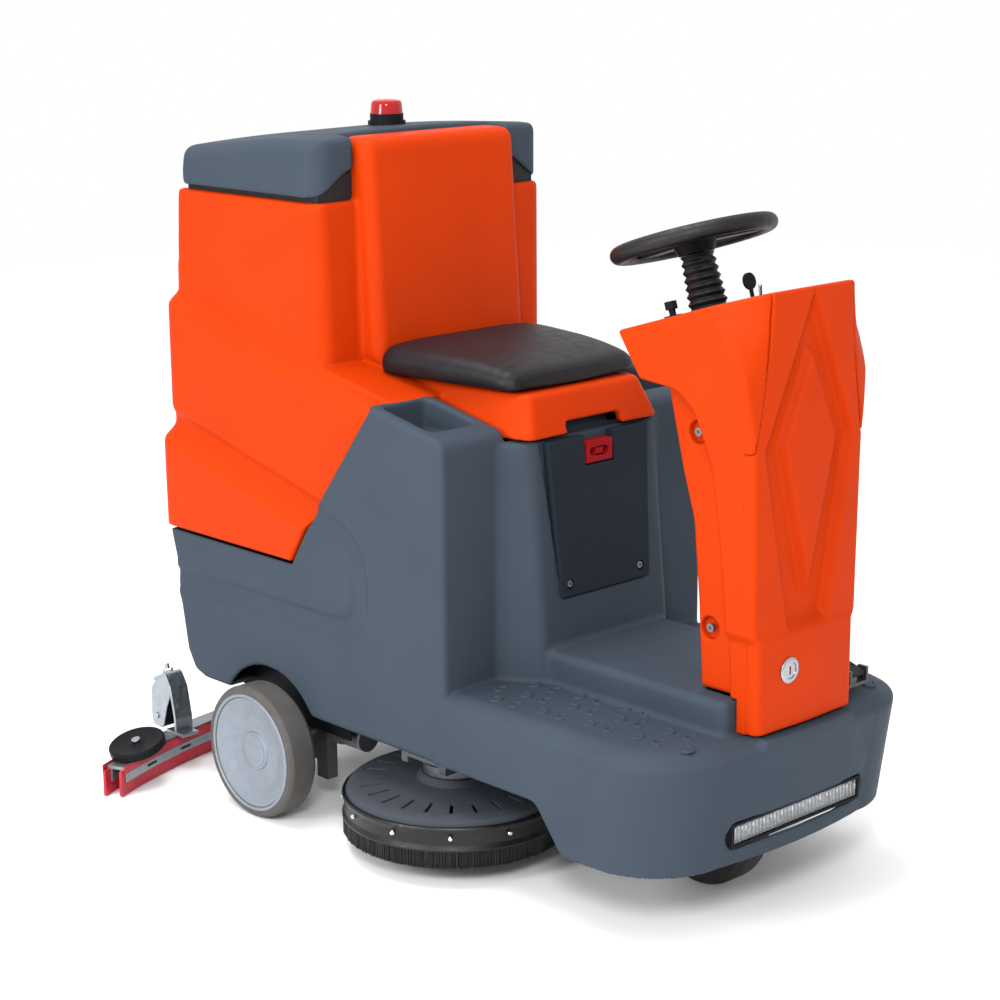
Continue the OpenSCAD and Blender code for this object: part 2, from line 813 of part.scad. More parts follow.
module caster_wheel(side) {
  color("#55585c") from_axle() translate([caster_pos[0] - 20, side * caster_pos[1], 92]) union() {
    rod_y(25, 22);
    rod_y(5, 40);
  }
}

module caster_wheel_right() { caster_wheel(-1); }
module caster_wheel_left() { caster_wheel(1); }

module suction_nozzle() {
  color(black) from_axle() translate([-squeegee_back, 0, 0]) difference() {
    union() {
      translate([0, 0, 66.3]) cylinder(r1 = 34, r2 = 24, h = 40);
      translate([0, 0, 106]) cylinder(r = 24, h = 30);
      box([-20, -60, 66.3], [20, 60, 74]);
    }
    translate([0, 0, 60]) cylinder(r = 17, h = 100);
  }
}

module squeegee_arm() {
  color(black) from_axle() difference() {
    union() {
      translate([arm_pivot[0], 0, arm_pivot[1]]) rod_y(10, 160);
      both_sides() plate_at(46, 54);
      difference() {
        translate([-squeegee_back, 0, 96]) cylinder(r = 44, h = 8);
        translate([-squeegee_back, 0, 60]) cylinder(r = 29, h = 100);
      }
      both_sides() box([-squeegee_back + 18, 28, 96], [-squeegee_back + 80, 54, 104]);
    }
    translate([-squeegee_back, 0, 60]) cylinder(r = 29, h = 100);
  }
}

module plate_at(y1, y2) {
  translate([0, y2, 0]) rotate([90, 0, 0]) linear_extrude(y2 - y1) polygon([
    [-squeegee_back + 44, 96], [-squeegee_back + 44, 104], [-squeegee_back + 90, 118],
    [arm_pivot[0] - 16, arm_pivot[1] + 14], [arm_pivot[0] + 14, arm_pivot[1] + 14],
    [arm_pivot[0] + 14, arm_pivot[1] - 14], [-squeegee_back + 100, 96]
  ]);
}

module suction_elbow() {
  color(black) from_axle() difference() {
    union() {
      translate([-squeegee_back, 0, 400]) cylinder(r = 26, h = 34);
      translate([-squeegee_back, 0, 434]) sphere(r = 26);
      translate([-345, 0, 434]) rod_x(26, 58);
      translate([-313, 0, 434]) rod_x(36, 8);
    }
    translate([-squeegee_back, 0, 396]) cylinder(r = 20.5, h = 38);
    translate([-squeegee_back, 0, 434]) sphere(r = 20.5);
    translate([-340, 0, 434]) rod_x(20.5, 68);
  }
}

module suction_hose() {
  color(black) from_axle() difference() {
    translate([-squeegee_back, 0, 137]) cylinder(r = 20, h = 290);
    translate([-squeegee_back, 0, 136]) cylinder(r = 17, h = 292);
  }
}

// ---------------------------------------------------------------- tank, seat, lid

// Plan outline with chamfered upright corners, as a tall prism.
module plan(x1, x2, half, cut) {
  linear_extrude(1400) polygon([
    [x1, -half + cut], [x1 + cut, -half], [x2 - cut, -half], [x2, -half + cut],
    [x2, half - cut], [x2 - cut, half], [x1 + cut, half], [x1, half - cut]
  ]);
}

module tank_outside() {
  intersection() {
    plate([
      [-322, tank_z], [-330, 700], [-336, 800], [-330, 905], [-322, 940], [-306, tower_top],
      [104, tower_top], [109, 836], [109, tank_z + (109 - seam_foot) * seam_rise], [seam_foot, tank_z]
    ], tower_half);
    plan(-338, 113, tower_half, 24);
  }
  plate([
    [60, tank_z], [60, 840], [109, pan_z(109)], [275, pan_z(275)], [seam_bend[0] + 2, seam_bend[1]],
    [seam_foot, tank_z]
  ], tower_half);
  plate([
    [-314, tank_z], [-316, rib_z(-316)], [212, rib_z(212)], [292, 805],
    [seam_bend[0], seam_bend[1]], [seam_foot, tank_z]
  ], flank_half);
  plate([
    [-312, tank_z], [-304, rib_z(-304) - 268], [104, rib_z(104) - 268], [seam_foot, tank_z]
  ], body_half);
}

module tank_inside() {
  plate([
    [-308, tank_z + wall], [-320, 700], [-326, 800], [-296, tower_top + 5],
    [60, tower_top + 5], [60, tank_z + wall]
  ], tower_half - 20);
}

module backrest_outside(inset) {
  plate([
    [87, 850], [156 - inset, 850], [130 - inset, 1220 - inset], [122 - inset, 1238 - inset],
    [104, back_top - inset], [87, back_top - inset]
  ], back_half - inset);
}

module pan_outside(inset) {
  hull() {
    box([84, -146 + inset, 800], [452 - inset, 146 - inset, 829 - inset]);
    box([84, -118 + inset, 800], [490 - inset, 118 - inset, 829 - inset]);
    box([84, -pan_half - 8 + inset, 755 - 2 * inset], [460 - inset, pan_half + 8 - inset, 760]);
    box([84, -160 + inset, 755 - 2 * inset], [519 - inset, 160 - inset, 760]);
  }
}

module recovery_tank() {
  color(orange) from_axle() difference() {
    union() {
      difference() {
        tank_outside();
        tank_inside();
        // open underneath, over the batteries
        plate([
          [68, tank_z - 6], [68, 820], [262, 790], [seam_bend[0] - 6, seam_bend[1] - 4],
          [100, 562], [126, 550], [86, tank_z - 6]
        ], tower_half - wall);
        // bed of the seat
        box([157.6, -192.6, 830.4], [480, 192.6, 900]);
      }
      backrest_outside(0);
      pan_outside(0);
    }
    backrest_outside(wall);
    pan_outside(wall);
    box([430, -62, 750], [600, 62, 774]);
    translate([-330, 150, 560]) rod_x(25.3, 60);
    translate([tank_pivot[0], 0, tank_pivot[1]]) rod_y(2, 10);
  }
}

module drain_cap() {
  color(black) from_axle() translate([-330, 150, 560]) difference() {
    union() {
      rod_x(25, 30);
      translate([-17, 0, 0]) rod_x(34, 16);
    }
    translate([10, 0, 0]) rod_x(19, 30);
  }
}

module seat_cushion() {
  color("#2b2b2f") from_axle() hull() {
    for (p = [[184, 166], [446, 126]]) both_sides()
      translate([p[0], p[1], 831]) cylinder(r = 26, h = 30, $fn = 32);
    for (p = [[196, 150, 892], [418, 110, 874]]) both_sides()
      translate([p[0], p[1], p[2] - 12]) cylinder(r = 26, h = 12, $fn = 32);
  }
}

module lid_outside(inset) {
  intersection() {
    plate([
      [-302 + inset, tower_top + 8], [-304 + inset, 1174], [-296 + inset, 1196 - inset],
      [-272, 1214 - inset], [-225, 1228 - inset], [-60, 1244 - inset], [60, lid_top - inset],
      [90 - inset, lid_top - 2 - inset], [102 - inset, lid_top - 14 - inset], [102 - inset, 1166],
      [94 - inset, tower_top + 8]
    ], tower_half - inset);
    plan(-304 + inset, 102 - inset, tower_half - 2 - inset, 20);
  }
}

module tank_lid() {
  color(grey) from_axle() difference() {
    lid_outside(0);
    difference() {
      lid_outside(wall);
      both_sides() box([40, back_half + 4, 1100], [120, back_half + 12, 1300]);
      box([40, -back_half - 4, 1100], [53, back_half + 4, 1300]);
    }
    box([54, -back_half - 4, 1100], [140, back_half + 4, 1300]);
    box([-310, -tower_half, tower_top + 7], [120, tower_half, tower_top + 8.1]);
  }
}

module beacon_base() {
  color(black) from_axle() translate([-24, 0, lid_top - 3]) union() {
    cylinder(r = 31, h = 20);
    cylinder(r = 35, h = 7);
  }
}

module beacon_dome() {
  color("#d8142a") from_axle() translate([-24, 0, lid_top + 17.3]) difference() {
    rotate_extrude() polygon([[0, 0], [30, 0], [28.5, 18], [26, 23], [18, 25], [0, 26]]);
    translate([0, 0, -1]) cylinder(r = 24, h = 20);
  }
}

base_body();
chassis_frame();
rear_axle();
wheel_bearings();
battery_door();
body_screws();
charge_socket();
batteries();
vacuum_motor();
solution_pump();
motor_controller();
cowl_shell();
cowl_front();
cowl_lock();
dash_panel();
steering_column();
column_bellows();
headlight_housing();
headlight_lens();
suction_elbow();
suction_hose();
steering_rim();
steering_hub();
ignition_key();
toggle_switch();
direction_lever();
drive_pedal();
pedal_bracket();
drive_fork();
drive_tyre();
drive_hub();
rear_tyre_right();
rear_tyre_left();
rear_rim_right();
rear_rim_left();
brush_deck_frame();
brush_cover_right();
brush_cover_left();
splash_skirt_right();
splash_skirt_left();
skirt_screws();
brush_motors();
brush_right();
brush_left();
squeegee_arm();
squeegee_channel();
squeegee_blade_front();
squeegee_blade_rear();
caster_forks();
suction_nozzle();
roller_right();
roller_left();
caster_wheel_right();
caster_wheel_left();
recovery_tank();
drain_cap();
seat_cushion();
tank_lid();
beacon_base();
beacon_dome();
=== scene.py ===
"""Looks for the ride-on floor scrubber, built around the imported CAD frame.

Shapes are laid out in millimetres from the rear axle (x forward, y to the driver's left, z up), as in the CAD
source, and moved to the row frame in metres when a mesh is made.
"""

import math

import bmesh
import bpy
import numpy as np
from mathutils import Matrix, Vector


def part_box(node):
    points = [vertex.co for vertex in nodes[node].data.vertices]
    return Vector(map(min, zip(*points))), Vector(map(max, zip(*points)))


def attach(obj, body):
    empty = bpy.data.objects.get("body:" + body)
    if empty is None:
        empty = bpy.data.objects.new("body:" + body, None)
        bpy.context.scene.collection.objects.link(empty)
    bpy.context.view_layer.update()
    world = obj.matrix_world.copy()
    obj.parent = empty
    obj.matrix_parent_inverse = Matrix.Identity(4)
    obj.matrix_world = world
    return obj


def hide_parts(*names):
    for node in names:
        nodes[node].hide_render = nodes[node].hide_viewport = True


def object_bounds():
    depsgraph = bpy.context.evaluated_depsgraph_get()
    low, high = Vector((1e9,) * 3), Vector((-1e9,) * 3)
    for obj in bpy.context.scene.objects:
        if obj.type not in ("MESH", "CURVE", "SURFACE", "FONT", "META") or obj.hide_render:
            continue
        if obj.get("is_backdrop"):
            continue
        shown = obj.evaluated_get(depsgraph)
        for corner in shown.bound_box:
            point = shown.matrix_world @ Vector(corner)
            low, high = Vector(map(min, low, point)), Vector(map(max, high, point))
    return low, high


MM = 0.001

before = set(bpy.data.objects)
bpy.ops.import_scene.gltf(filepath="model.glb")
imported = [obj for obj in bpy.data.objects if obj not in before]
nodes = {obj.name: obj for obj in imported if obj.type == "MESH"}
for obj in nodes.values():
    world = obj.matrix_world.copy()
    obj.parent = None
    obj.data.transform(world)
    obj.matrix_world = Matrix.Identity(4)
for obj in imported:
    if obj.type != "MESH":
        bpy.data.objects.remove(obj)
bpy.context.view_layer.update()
scene = bpy.context.scene

# The rear axle's place in the row frame: every shape below is measured from it.
AXLE = sum(corner.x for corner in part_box("rear_rim_right")) / 2


def row(x, y, z):
    """A point given in millimetres from the axle, in the row frame in metres."""
    return Vector((AXLE + x * MM, y * MM, z * MM))


# ------------------------------------------------------------------ camera

CAMERA_PLACE = row(3240, -2799, 1593)
CAMERA_AZIMUTH = math.radians(46.67)
CAMERA_PITCH = math.radians(13.87)
CAMERA_ROLL = math.radians(-0.45)
CAMERA_LENS = 82.8
CAMERA_SENSOR = 36.0


def make_camera():
    camera = bpy.data.objects.new("camera", bpy.data.cameras.new("camera"))
    scene.collection.objects.link(camera)
    camera.data.lens, camera.data.sensor_width = CAMERA_LENS, CAMERA_SENSOR
    camera.data.clip_end = 100
    a, p, r = CAMERA_AZIMUTH, CAMERA_PITCH, CAMERA_ROLL
    ahead = Vector((-math.sin(a) * math.cos(p), math.cos(a) * math.cos(p), -math.sin(p)))
    right = Vector((math.cos(a), math.sin(a), 0))
    up = right.cross(ahead)
    right, up = right * math.cos(r) + up * math.sin(r), up * math.cos(r) - right * math.sin(r)
    turn = Matrix((right, up, -ahead)).transposed()
    camera.matrix_world = Matrix.Translation(CAMERA_PLACE) @ turn.to_4x4()
    scene.camera = camera


make_camera()

# ------------------------------------------------------------------ smooth skins from distance fields


def rounded(points, default=0.0, steps=5):
    """A closed outline whose corners are rounded. A point is (u, v) or (u, v, radius)."""
    count, out = len(points), []
    for i in range(count):
        here = np.array(points[i][:2], float)
        radius = points[i][2] if len(points[i]) > 2 else default
        before = np.array(points[i - 1][:2], float) - here
        after = np.array(points[(i + 1) % count][:2], float) - here
        near, far = np.linalg.norm(before), np.linalg.norm(after)
        before, after = before / near, after / far
        half = math.acos(float(np.clip(before @ after, -1, 1))) / 2
        reach = min(radius / math.tan(half), near * 0.48, far * 0.48) if radius and half < 1.55 else 0
        if reach < 0.2:
            out.append(here)
            continue
        start, end = here + before * reach, here + after * reach
        for k in range(steps + 1):
            t = k / steps
            out.append(start * (1 - t) ** 2 + here * 2 * t * (1 - t) + end * t * t)
    return np.array(out)


def in_outline(u, v, outline):
    """Signed distance from points (u, v) to a closed outline, negative inside."""
    u, v = np.broadcast_arrays(u, v)
    best = np.full(u.shape, 1e12, np.float32)
    inside = np.zeros(u.shape, bool)
    for i in range(len(outline)):
        (au, av), (bu, bv) = outline[i - 1], outline[i]
        du, dv = bu - au, bv - av
        t = np.clip(((u - au) * du + (v - av) * dv) / max(du * du + dv * dv, 1e-9), 0, 1)
        best = np.minimum(best, (u - au - t * du) ** 2 + (v - av - t * dv) ** 2)
        if dv:
            crosses = (av > v) != (bv > v)
            inside ^= crosses & (u < (v - av) * du / dv + au)
    distance = np.sqrt(best)
    return np.where(inside, -distance, distance).astype(np.float32)


def both(a, b, r=0.0):
    """What is inside a and b, with a rounded edge of radius r between them."""
    if not r:
        return np.maximum(a, b)
    return np.minimum(np.maximum(a, b), -r) + np.sqrt(np.maximum(a + r, 0) ** 2 + np.maximum(b + r, 0) ** 2)


def either(a, b, r=0.0):
    return -both(-a, -b, r)


def less(a, b, r=0.0):
    return both(a, -b, r)


def ramp(t, start, end):
    """0 before start, 1 after end, and smooth between them."""
    t = np.clip((t - start) / (end - start), 0, 1)
    return t * t * (3 - 2 * t)


def along(u, points):
    """A value that goes through (u, value) points in straight lines."""
    us, values = zip(*points)
    return np.interp(u, us, values).astype(np.float32)


class Grid:
    """A block of space that a shape's distance field is sampled on. The shape is the same on both sides."""

    def __init__(self, x, y, z, step):
        self.step = step
        self.low = np.array([x[0], 0, z[0]], float)
        sides = [np.arange(math.ceil((hi - lo) / step) + 1) * step + lo for lo, hi in (x, (0, y), z)]
        self.x = sides[0][:, None, None].astype(np.float32)
        self.y = sides[1][None, :, None].astype(np.float32)
        self.z = sides[2][None, None, :].astype(np.float32)

    def side(self, points, default=0.0):
        return in_outline(self.x, self.z, rounded(points, default))

    def plan(self, points, default=0.0):
        return in_outline(self.x, self.y, rounded(points, default))

    def front(self, points, default=0.0):
        return in_outline(self.y, self.z, rounded(points, default))

    def block(self, low, high, r=0.0):
        """A box between two corners, the same on both sides where its low y is 0 or less."""
        x = np.maximum(low[0] - self.x, self.x - high[0])
        y = self.y - high[1] if low[1] <= 0 else np.maximum(low[1] - self.y, self.y - high[1])
        z = np.maximum(low[2] - self.z, self.z - high[2])
        return both(both(x, y, r), z, r)


def read_field(field, low, step, points):
    """The field's value at points, from the eight samples round each."""
    place = (points - low) / step
    base = np.clip(np.floor(place).astype(int), 0, np.array(field.shape) - 2)
    t = place - base
    total = np.zeros(len(points))
    for corner in np.ndindex(2, 2, 2):
        share = np.prod(np.where(corner, t, 1 - t), axis=1)
        i, j, k = (base + corner).T
        total += share * field[i, j, k]
    return total


def net(field, low, step):
    """The surface where the field is 0: one point for each cell that it crosses, joined into four-sided faces."""
    inside = field < 0
    shape = np.array(field.shape) - 1
    votes = sum(
        inside[i : i + shape[0], j : j + shape[1], k : k + shape[2]].astype(np.uint8) for i, j, k in np.ndindex(2, 2, 2)
    )
    crossed = (votes > 0) & (votes < 8)
    cells = np.argwhere(crossed)
    number = np.full(crossed.shape, -1, np.int32)
    number[crossed] = np.arange(len(cells))
    total, hits = np.zeros((len(cells), 3)), np.zeros(len(cells))
    for start in np.ndindex(2, 2, 2):
        for axis in range(3):
            if start[axis]:
                continue
            end = np.array(start)
            end[axis] = 1
            a = field[tuple((cells + start).T)]
            b = field[tuple((cells + end).T)]
            cut = (a < 0) != (b < 0)
            t = np.where(cut, a / np.where(cut, a - b, 1), 0)
            total += cut[:, None] * (np.array(start) + t[:, None] * (end - np.array(start)))
            hits += cut
    points = low + step * (cells + total / hits[:, None])
    faces = []
    for axis in range(3):
        b, c = (axis + 1) % 3, (axis + 2) % 3
        here = np.moveaxis(inside, axis, 0)
        change = np.moveaxis(here[:-1] != here[1:], 0, axis)
        edges = np.argwhere(change)
        keep = (edges[:, b] > 0) & (edges[:, c] > 0) & (edges[:, b] < shape[b]) & (edges[:, c] < shape[c])
        edges = edges[keep]
        step_b, step_c = np.eye(3, dtype=int)[b], np.eye(3, dtype=int)[c]
        ring = [edges - step_b - step_c, edges - step_c, edges, edges - step_b]
        quad = np.stack([number[tuple(cell.T)] for cell in ring], axis=1)
        backwards = ~inside[tuple(edges.T)]
        quad[backwards] = quad[backwards][:, ::-1]
        faces.append(quad)
    return points, np.concatenate(faces)


def mesh_of(name, points, faces):
    """A mesh from arrays of points in metres and of faces with the same number of corners."""
    mesh = bpy.data.meshes.new(name)
    corners = faces.shape[1]
    mesh.vertices.add(len(points))
    mesh.vertices.foreach_set("co", np.ascontiguousarray(points, np.float32).ravel())
    mesh.loops.add(faces.size)
    mesh.loops.foreach_set("vertex_index", faces.astype(np.int32).ravel())
    mesh.polygons.add(len(faces))
    mesh.polygons.foreach_set("loop_start", np.arange(0, faces.size, corners, dtype=np.int32))
    mesh.update(calc_edges=True)
    mesh.validate()
    return mesh


def link(name, mesh):
    obj = bpy.data.objects.new(name, mesh)
    scene.collection.objects.link(obj)
    return obj


def settled(obj):
    """The object's mesh with its modifiers applied."""
    made = bpy.data.meshes.new_from_object(obj.evaluated_get(bpy.context.evaluated_depsgraph_get()))
    obj.modifiers.clear()
    old, obj.data = obj.data, made
    made.name = old.name
    bpy.data.meshes.remove(old)
    return obj


def skin(name, grid, field, keep=0.25):
    """A smooth mesh of the shape that field describes. keep is the share of its faces that is kept."""
    whole = np.concatenate([field[:, :0:-1], field], axis=1)
    low = grid.low - [0, (field.shape[1] - 1) * grid.step, 0]
    points, faces = net(whole, low, grid.step)
    obj = link(name, mesh_of(name, points * MM, faces))
    if keep < 1:
        thin = obj.modifiers.new("thin", "DECIMATE")
        thin.ratio = keep
        settled(obj)
    mesh = obj.data
    points = np.zeros(len(mesh.vertices) * 3, np.float32)
    mesh.vertices.foreach_get("co", points)
    points = points.reshape(-1, 3) / MM
    reach = grid.step * 0.6
    normals = np.stack(
        [
            read_field(whole, low, grid.step, points + reach * axis)
            - read_field(whole, low, grid.step, points - reach * axis)
            for axis in np.eye(3)
        ],
        axis=1,
    )
    normals /= np.maximum(np.linalg.norm(normals, axis=1), 1e-9)[:, None]
    mesh.vertices.foreach_set("co", (points * MM + [AXLE, 0, 0]).astype(np.float32).ravel())
    mesh.shade_smooth()
    mesh.normals_split_custom_set_from_vertices(normals.tolist())
    mesh.update()
    return obj


def path_distance(u, v, points):
    """Distance from points (u, v) to an open line through points, each (u, v) or (u, v, corner radius)."""
    line = rounded(points)
    u, v = np.broadcast_arrays(u, v)
    best = np.full(u.shape, 1e12, np.float32)
    for (au, av), (bu, bv) in zip(line[:-1], line[1:]):
        du, dv = bu - au, bv - av
        t = np.clip(((u - au) * du + (v - av) * dv) / max(du * du + dv * dv, 1e-9), 0, 1)
        best = np.minimum(best, (u - au - t * du) ** 2 + (v - av - t * dv) ** 2)
    return np.sqrt(best)


def plane_through(grid, a, b, c):
    """Signed distance to the plane through three points, positive on the side that its outward normal points to."""
    a, b, c = (np.array(p, float) for p in (a, b, c))
    n = np.cross(b - a, c - a)
    n /= np.linalg.norm(n)
    return (grid.x - a[0]) * n[0] + (grid.y - a[1]) * n[1] + (grid.z - a[2]) * n[2]


# ------------------------------------------------------------------ sizes shared by several shapes

WALL = 9
BODY_HALF = 325
TOWER_HALF = 278
FLANK_STEP = 25
LOWER_STEP = 22
TANK_SEAM = 490
SEAM_FOOT = (60, 490)
SEAM_BEND = (137, 612)
BLOCK_REAR = (296, 808)
BLOCK_FRONT = (475, 772)
DECK_TOP = 336
DECK_BEVEL = 18
TUNNEL_TOP = 392
FLOOR = 285
BUMPER_FRONT = 1014
BUMPER_BOTTOM = 125
COWL_HALF = 121
COLUMN_HALF = 113
DASH_HALF = 153
DASH_REAR = (714, 970)
DASH_ANGLE = math.radians(17.2)
BACK_HALF = 182
BACK_TOP = 1244
LID_TOP = 1253
GROOVE = [(-340, 697), (246, 559, 85), (262, 391, 85), (-340, 391)]
GROOVE_HALF, GROOVE_DEPTH = 22, 7


def rib_line(x):
    return 941 - 0.2515 * (x + 330)


def groove_line(x):
    return 697 - 0.2355 * (x + 340)


def groove(grid):
    """How deep the long channel is pressed into the flank at each x and z."""
    distance = path_distance(grid.x, grid.z, GROOVE)
    return GROOVE_DEPTH * (1 - ramp(distance, GROOVE_HALF - 11, GROOVE_HALF + 9))


def bumper_reach(grid):
    """Signed distance to the upright faces of the deck and the bumper, which bows and leans at the front."""
    bow = 14 * np.minimum(grid.y / 178, 1) ** 2
    lean = 0.16 * np.maximum(318 - grid.z, 0)
    return both(grid.y - BODY_HALF, grid.x + bow + lean - BUMPER_FRONT, 142)


def slot_shape(grid, half, low, high):
    """Signed distance to the long round-ended opening of the headlight."""
    radius = (high - low) / 2
    across = np.maximum(grid.y - (half - radius), 0)
    return np.sqrt(across**2 + (grid.z - (high + low) / 2) ** 2) - radius


# ------------------------------------------------------------------ grey body


def body_field(g):
    outer = g.side(
        [
            (-325, 930),
            (-310, 487, 4),
            (-294, 430, 12),
            (-300, 380, 14),
            (-285, 342, 14),
            (-269, 252, 12),
            (-247, 216, 14),
            (-214, 205, 16),
            (BLOCK_FRONT[0], 204),
            (*BLOCK_FRONT, 26),
        ]
    )
    half = BODY_HALF - groove(g)
    tub = both(outer, g.y - half, 11)
    seam = g.side(
        [
            (-400, TANK_SEAM - 3),
            (SEAM_FOOT[0] + 4, TANK_SEAM - 3),
            (SEAM_BEND[0] + 5, SEAM_BEND[1] - 4),
            (BLOCK_REAR[0] + 2, BLOCK_REAR[1] + 4),
            (BLOCK_REAR[0] + 2, 1000),
            (700, 1000),
            (700, 0),
            (-400, 0),
        ]
    )
    shell = both(tub, seam, 3)
    inner = tub + WALL
    shell = less(shell, both(inner, FLOOR - g.z, 8))
    shell = less(shell, both(inner, g.z - (FLOOR - WALL), 8))

    # trays of the two cup holders
    top = 842 - 0.2 * (g.x - 120) - 2
    recess = both(both(np.maximum(296 - g.x, g.x - 424), np.maximum(197 - g.y, g.y - 299), 12), top - 64 - g.z, 10)
    tray = both(both(np.maximum(284 - g.x, g.x - 436), np.maximum(184 - g.y, g.y - 318)), top - 74 - g.z)
    shell = either(shell, both(both(tray, tub), -(g.z - 690)))
    shell = less(shell, recess, 5)

    # the wide way for the seat pan between the blocks, open to the battery room
    shell = less(shell, g.block((-260, 0, FLOOR), (466, 178, 900), 4))

    # pedestal that carries the battery door
    t = (752 - g.z) / 416
    front = (g.x - (512 + 40 * t)) * 0.995
    x0, x1 = 475 + 8 * t, 507 + 40 * t
    corner = ((g.x - x0) * 38 + (g.y - 196) * (x1 - x0)) / np.sqrt(38**2 + (x1 - x0) ** 2)
    pedestal = both(both(front, corner, 10), g.z - 752, 8)
    pedestal = both(pedestal, np.maximum(300 - g.x, g.y - 205))
    shell = either(shell, both(pedestal, 300 - g.z), 6)
    shell = less(shell, g.block((-260, 0, FLOOR), (466, 178, 900)))
    shell = less(shell, g.block((440, 0, FLOOR), (500, 150, 738), 8))
    shell = less(shell, g.block((440, 74, 753), (500, 179, 900)))

    # deck with its skirts, and the bumper
    reach = bumper_reach(g)
    deck_side = g.side(
        [
            (445, 203),
            (690, 203, 26),
            (752, BUMPER_BOTTOM, 16),
            (1100, BUMPER_BOTTOM),
            (1100, DECK_TOP),
            (445, DECK_TOP),
        ]
    )
    width = along(g.x, [(640, 20), (960, 38)])
    bevel = ((reach + width) * DECK_BEVEL + (g.z - DECK_TOP) * width) / np.sqrt(DECK_BEVEL**2 + width**2)
    bevel = bevel - 22 * (1 - ramp(g.y, 110, 117))
    deck = both(both(reach, deck_side, 5), bevel, 7)
    hollow = both(both(reach + WALL, g.z - (DECK_TOP - 24), 10), 470 - g.x)
    deck = less(deck, hollow)
    shell = either(shell, deck, 7)

    # tunnel down the middle of the deck, with the pit under the cowl
    tunnel = both(g.side([(500, 300), (948, 300), (947, TUNNEL_TOP, 8), (500, TUNNEL_TOP)]), g.y - 148, 14)
    shell = either(shell, tunnel, 9)
    shell = less(shell, g.block((512, 0, 270), (940, 138, TUNNEL_TOP - WALL), 8))
    shell = less(shell, g.block((868, 0, DECK_TOP - 40), (950, 104, 430), 4))

    # wheel arches, the door's recess, the way for the squeegee arm and the headlight
    arch = both(np.sqrt((g.x + 14) ** 2 + (g.z - 127) ** 2) - 146, 249 - g.y)
    shell = less(shell, arch, 5)
    shell = less(shell, g.block((-345, 0, 90), (-200, 80, FLOOR - WALL), 6))
    shell = less(shell, g.block((-240, 0, 90), (470, 235, FLOOR - WALL), 4))
    shell = less(shell, door_outline(g, 2.5), 2)
    steering = np.sqrt((g.x - 782) ** 2 + g.y**2) - 46
    shell = less(shell, both(steering, np.maximum(250 - g.z, g.z - 350)))
    slot = both(slot_shape(g, 171, 156, 204), 946 - g.x)
    return less(shell, slot, 4)


DOOR_CENTRE, DOOR_LEAN = (526, 614), math.radians(4.6)


def door_outline(g, room=0.0):
    """Signed distance to the battery door, a slab wider at its top that leans with the pedestal."""
    across = (g.x - DOOR_CENTRE[0]) * math.cos(DOOR_LEAN) + (g.z - DOOR_CENTRE[1]) * math.sin(DOOR_LEAN)
    up = (g.z - DOOR_CENTRE[1]) * math.cos(DOOR_LEAN) - (g.x - DOOR_CENTRE[0]) * math.sin(DOOR_LEAN)
    half = 114.5 + 13 * up / 137
    edge = both(g.y - half - room, np.abs(up) - 137 - room, 6)
    return both(edge, np.abs(across) - 8 - room, 0 if room else 3)


# ------------------------------------------------------------------ orange tank


def tank_half(g):
    """Half width of the tank at each x and z: two steps outward with a pressed channel between them."""
    wide = TOWER_HALF + FLANK_STEP * ramp(rib_line(g.x) - g.z, -8, 24)
    wide = wide + LOWER_STEP * ramp(groove_line(g.x) - g.z, 0, 34)
    return wide - groove(g)


def tank_field(g):
    rear = [(-322, TANK_SEAM, 2), (-330, 700, 10), (-336, 800, 10), (-330, 905, 12), (-322, 942, 10)]
    tower = both(g.side([*rear, (-306, 1134, 6), (104, 1134, 6), (109, 836), (109, TANK_SEAM)]), g.y - TOWER_HALF, 10)
    tower = both(tower, ((g.x - 109) + (g.y - TOWER_HALF) + 22) * 0.7071, 9)
    tower = both(tower, ((-337 - g.x) + (g.y - TOWER_HALF) + 22) * 0.7071, 9)
    wide = tank_half(g)
    side = g.side([*rear, (-318, 1000), (109, 846), (*BLOCK_REAR, 3), (*SEAM_BEND, 2), (*SEAM_FOOT, 2)])
    flank = both(side, (g.y - wide) * 0.9, 6)
    flank = both(flank, ((-336 - g.x) + (g.y - wide) + 20) * 0.7071, 9)
    tank = either(tower, flank, 3)
    back = g.side([(40, 840), (158, 840), (131, BACK_TOP, 26), (60, BACK_TOP)])
    back = both(back, g.y - BACK_HALF, 24)
    tank = either(tank, back, 9)
    pan = pan_outside(g)
    lip = both(both(pan, 756 - g.z, 3), 70 - g.x)
    tank = either(tank, lip, 6)

    tank = less(tank, g.block((-308, 0, TANK_SEAM + WALL), (60, 258, 1300), 16))
    tank = less(tank, both(both(back + WALL, 110 - g.x), g.z - 1230))
    under = g.side([(68, 470), (68, 820), (262, 790), (272, 772), (150, 612), (72, 470)])
    tank = less(tank, both(under, g.y - 269))
    tank = less(tank, both(pan + 17, 90 - g.x))
    grip = both(g.block((438, 0, 700), (700, 68, 776), 8), g.y - 68)
    return less(tank, grip, 3)


def pan_outside(g):
    """The seat pan: sides and front lean in, with a flat at each front corner."""
    side = ((g.y - 177) * 74 + (g.z - 755) * 30) / math.hypot(74, 30)
    front = ((g.x - 519) * 74 + (g.z - 755) * 29) / math.hypot(74, 29)
    corner = plane_through(g, (519, 158, 757), (458, 178, 757), (452, 148, 829))
    return both(both(both(side, front, 12), corner, 12), g.z - 829, 9)


# ------------------------------------------------------------------ lid


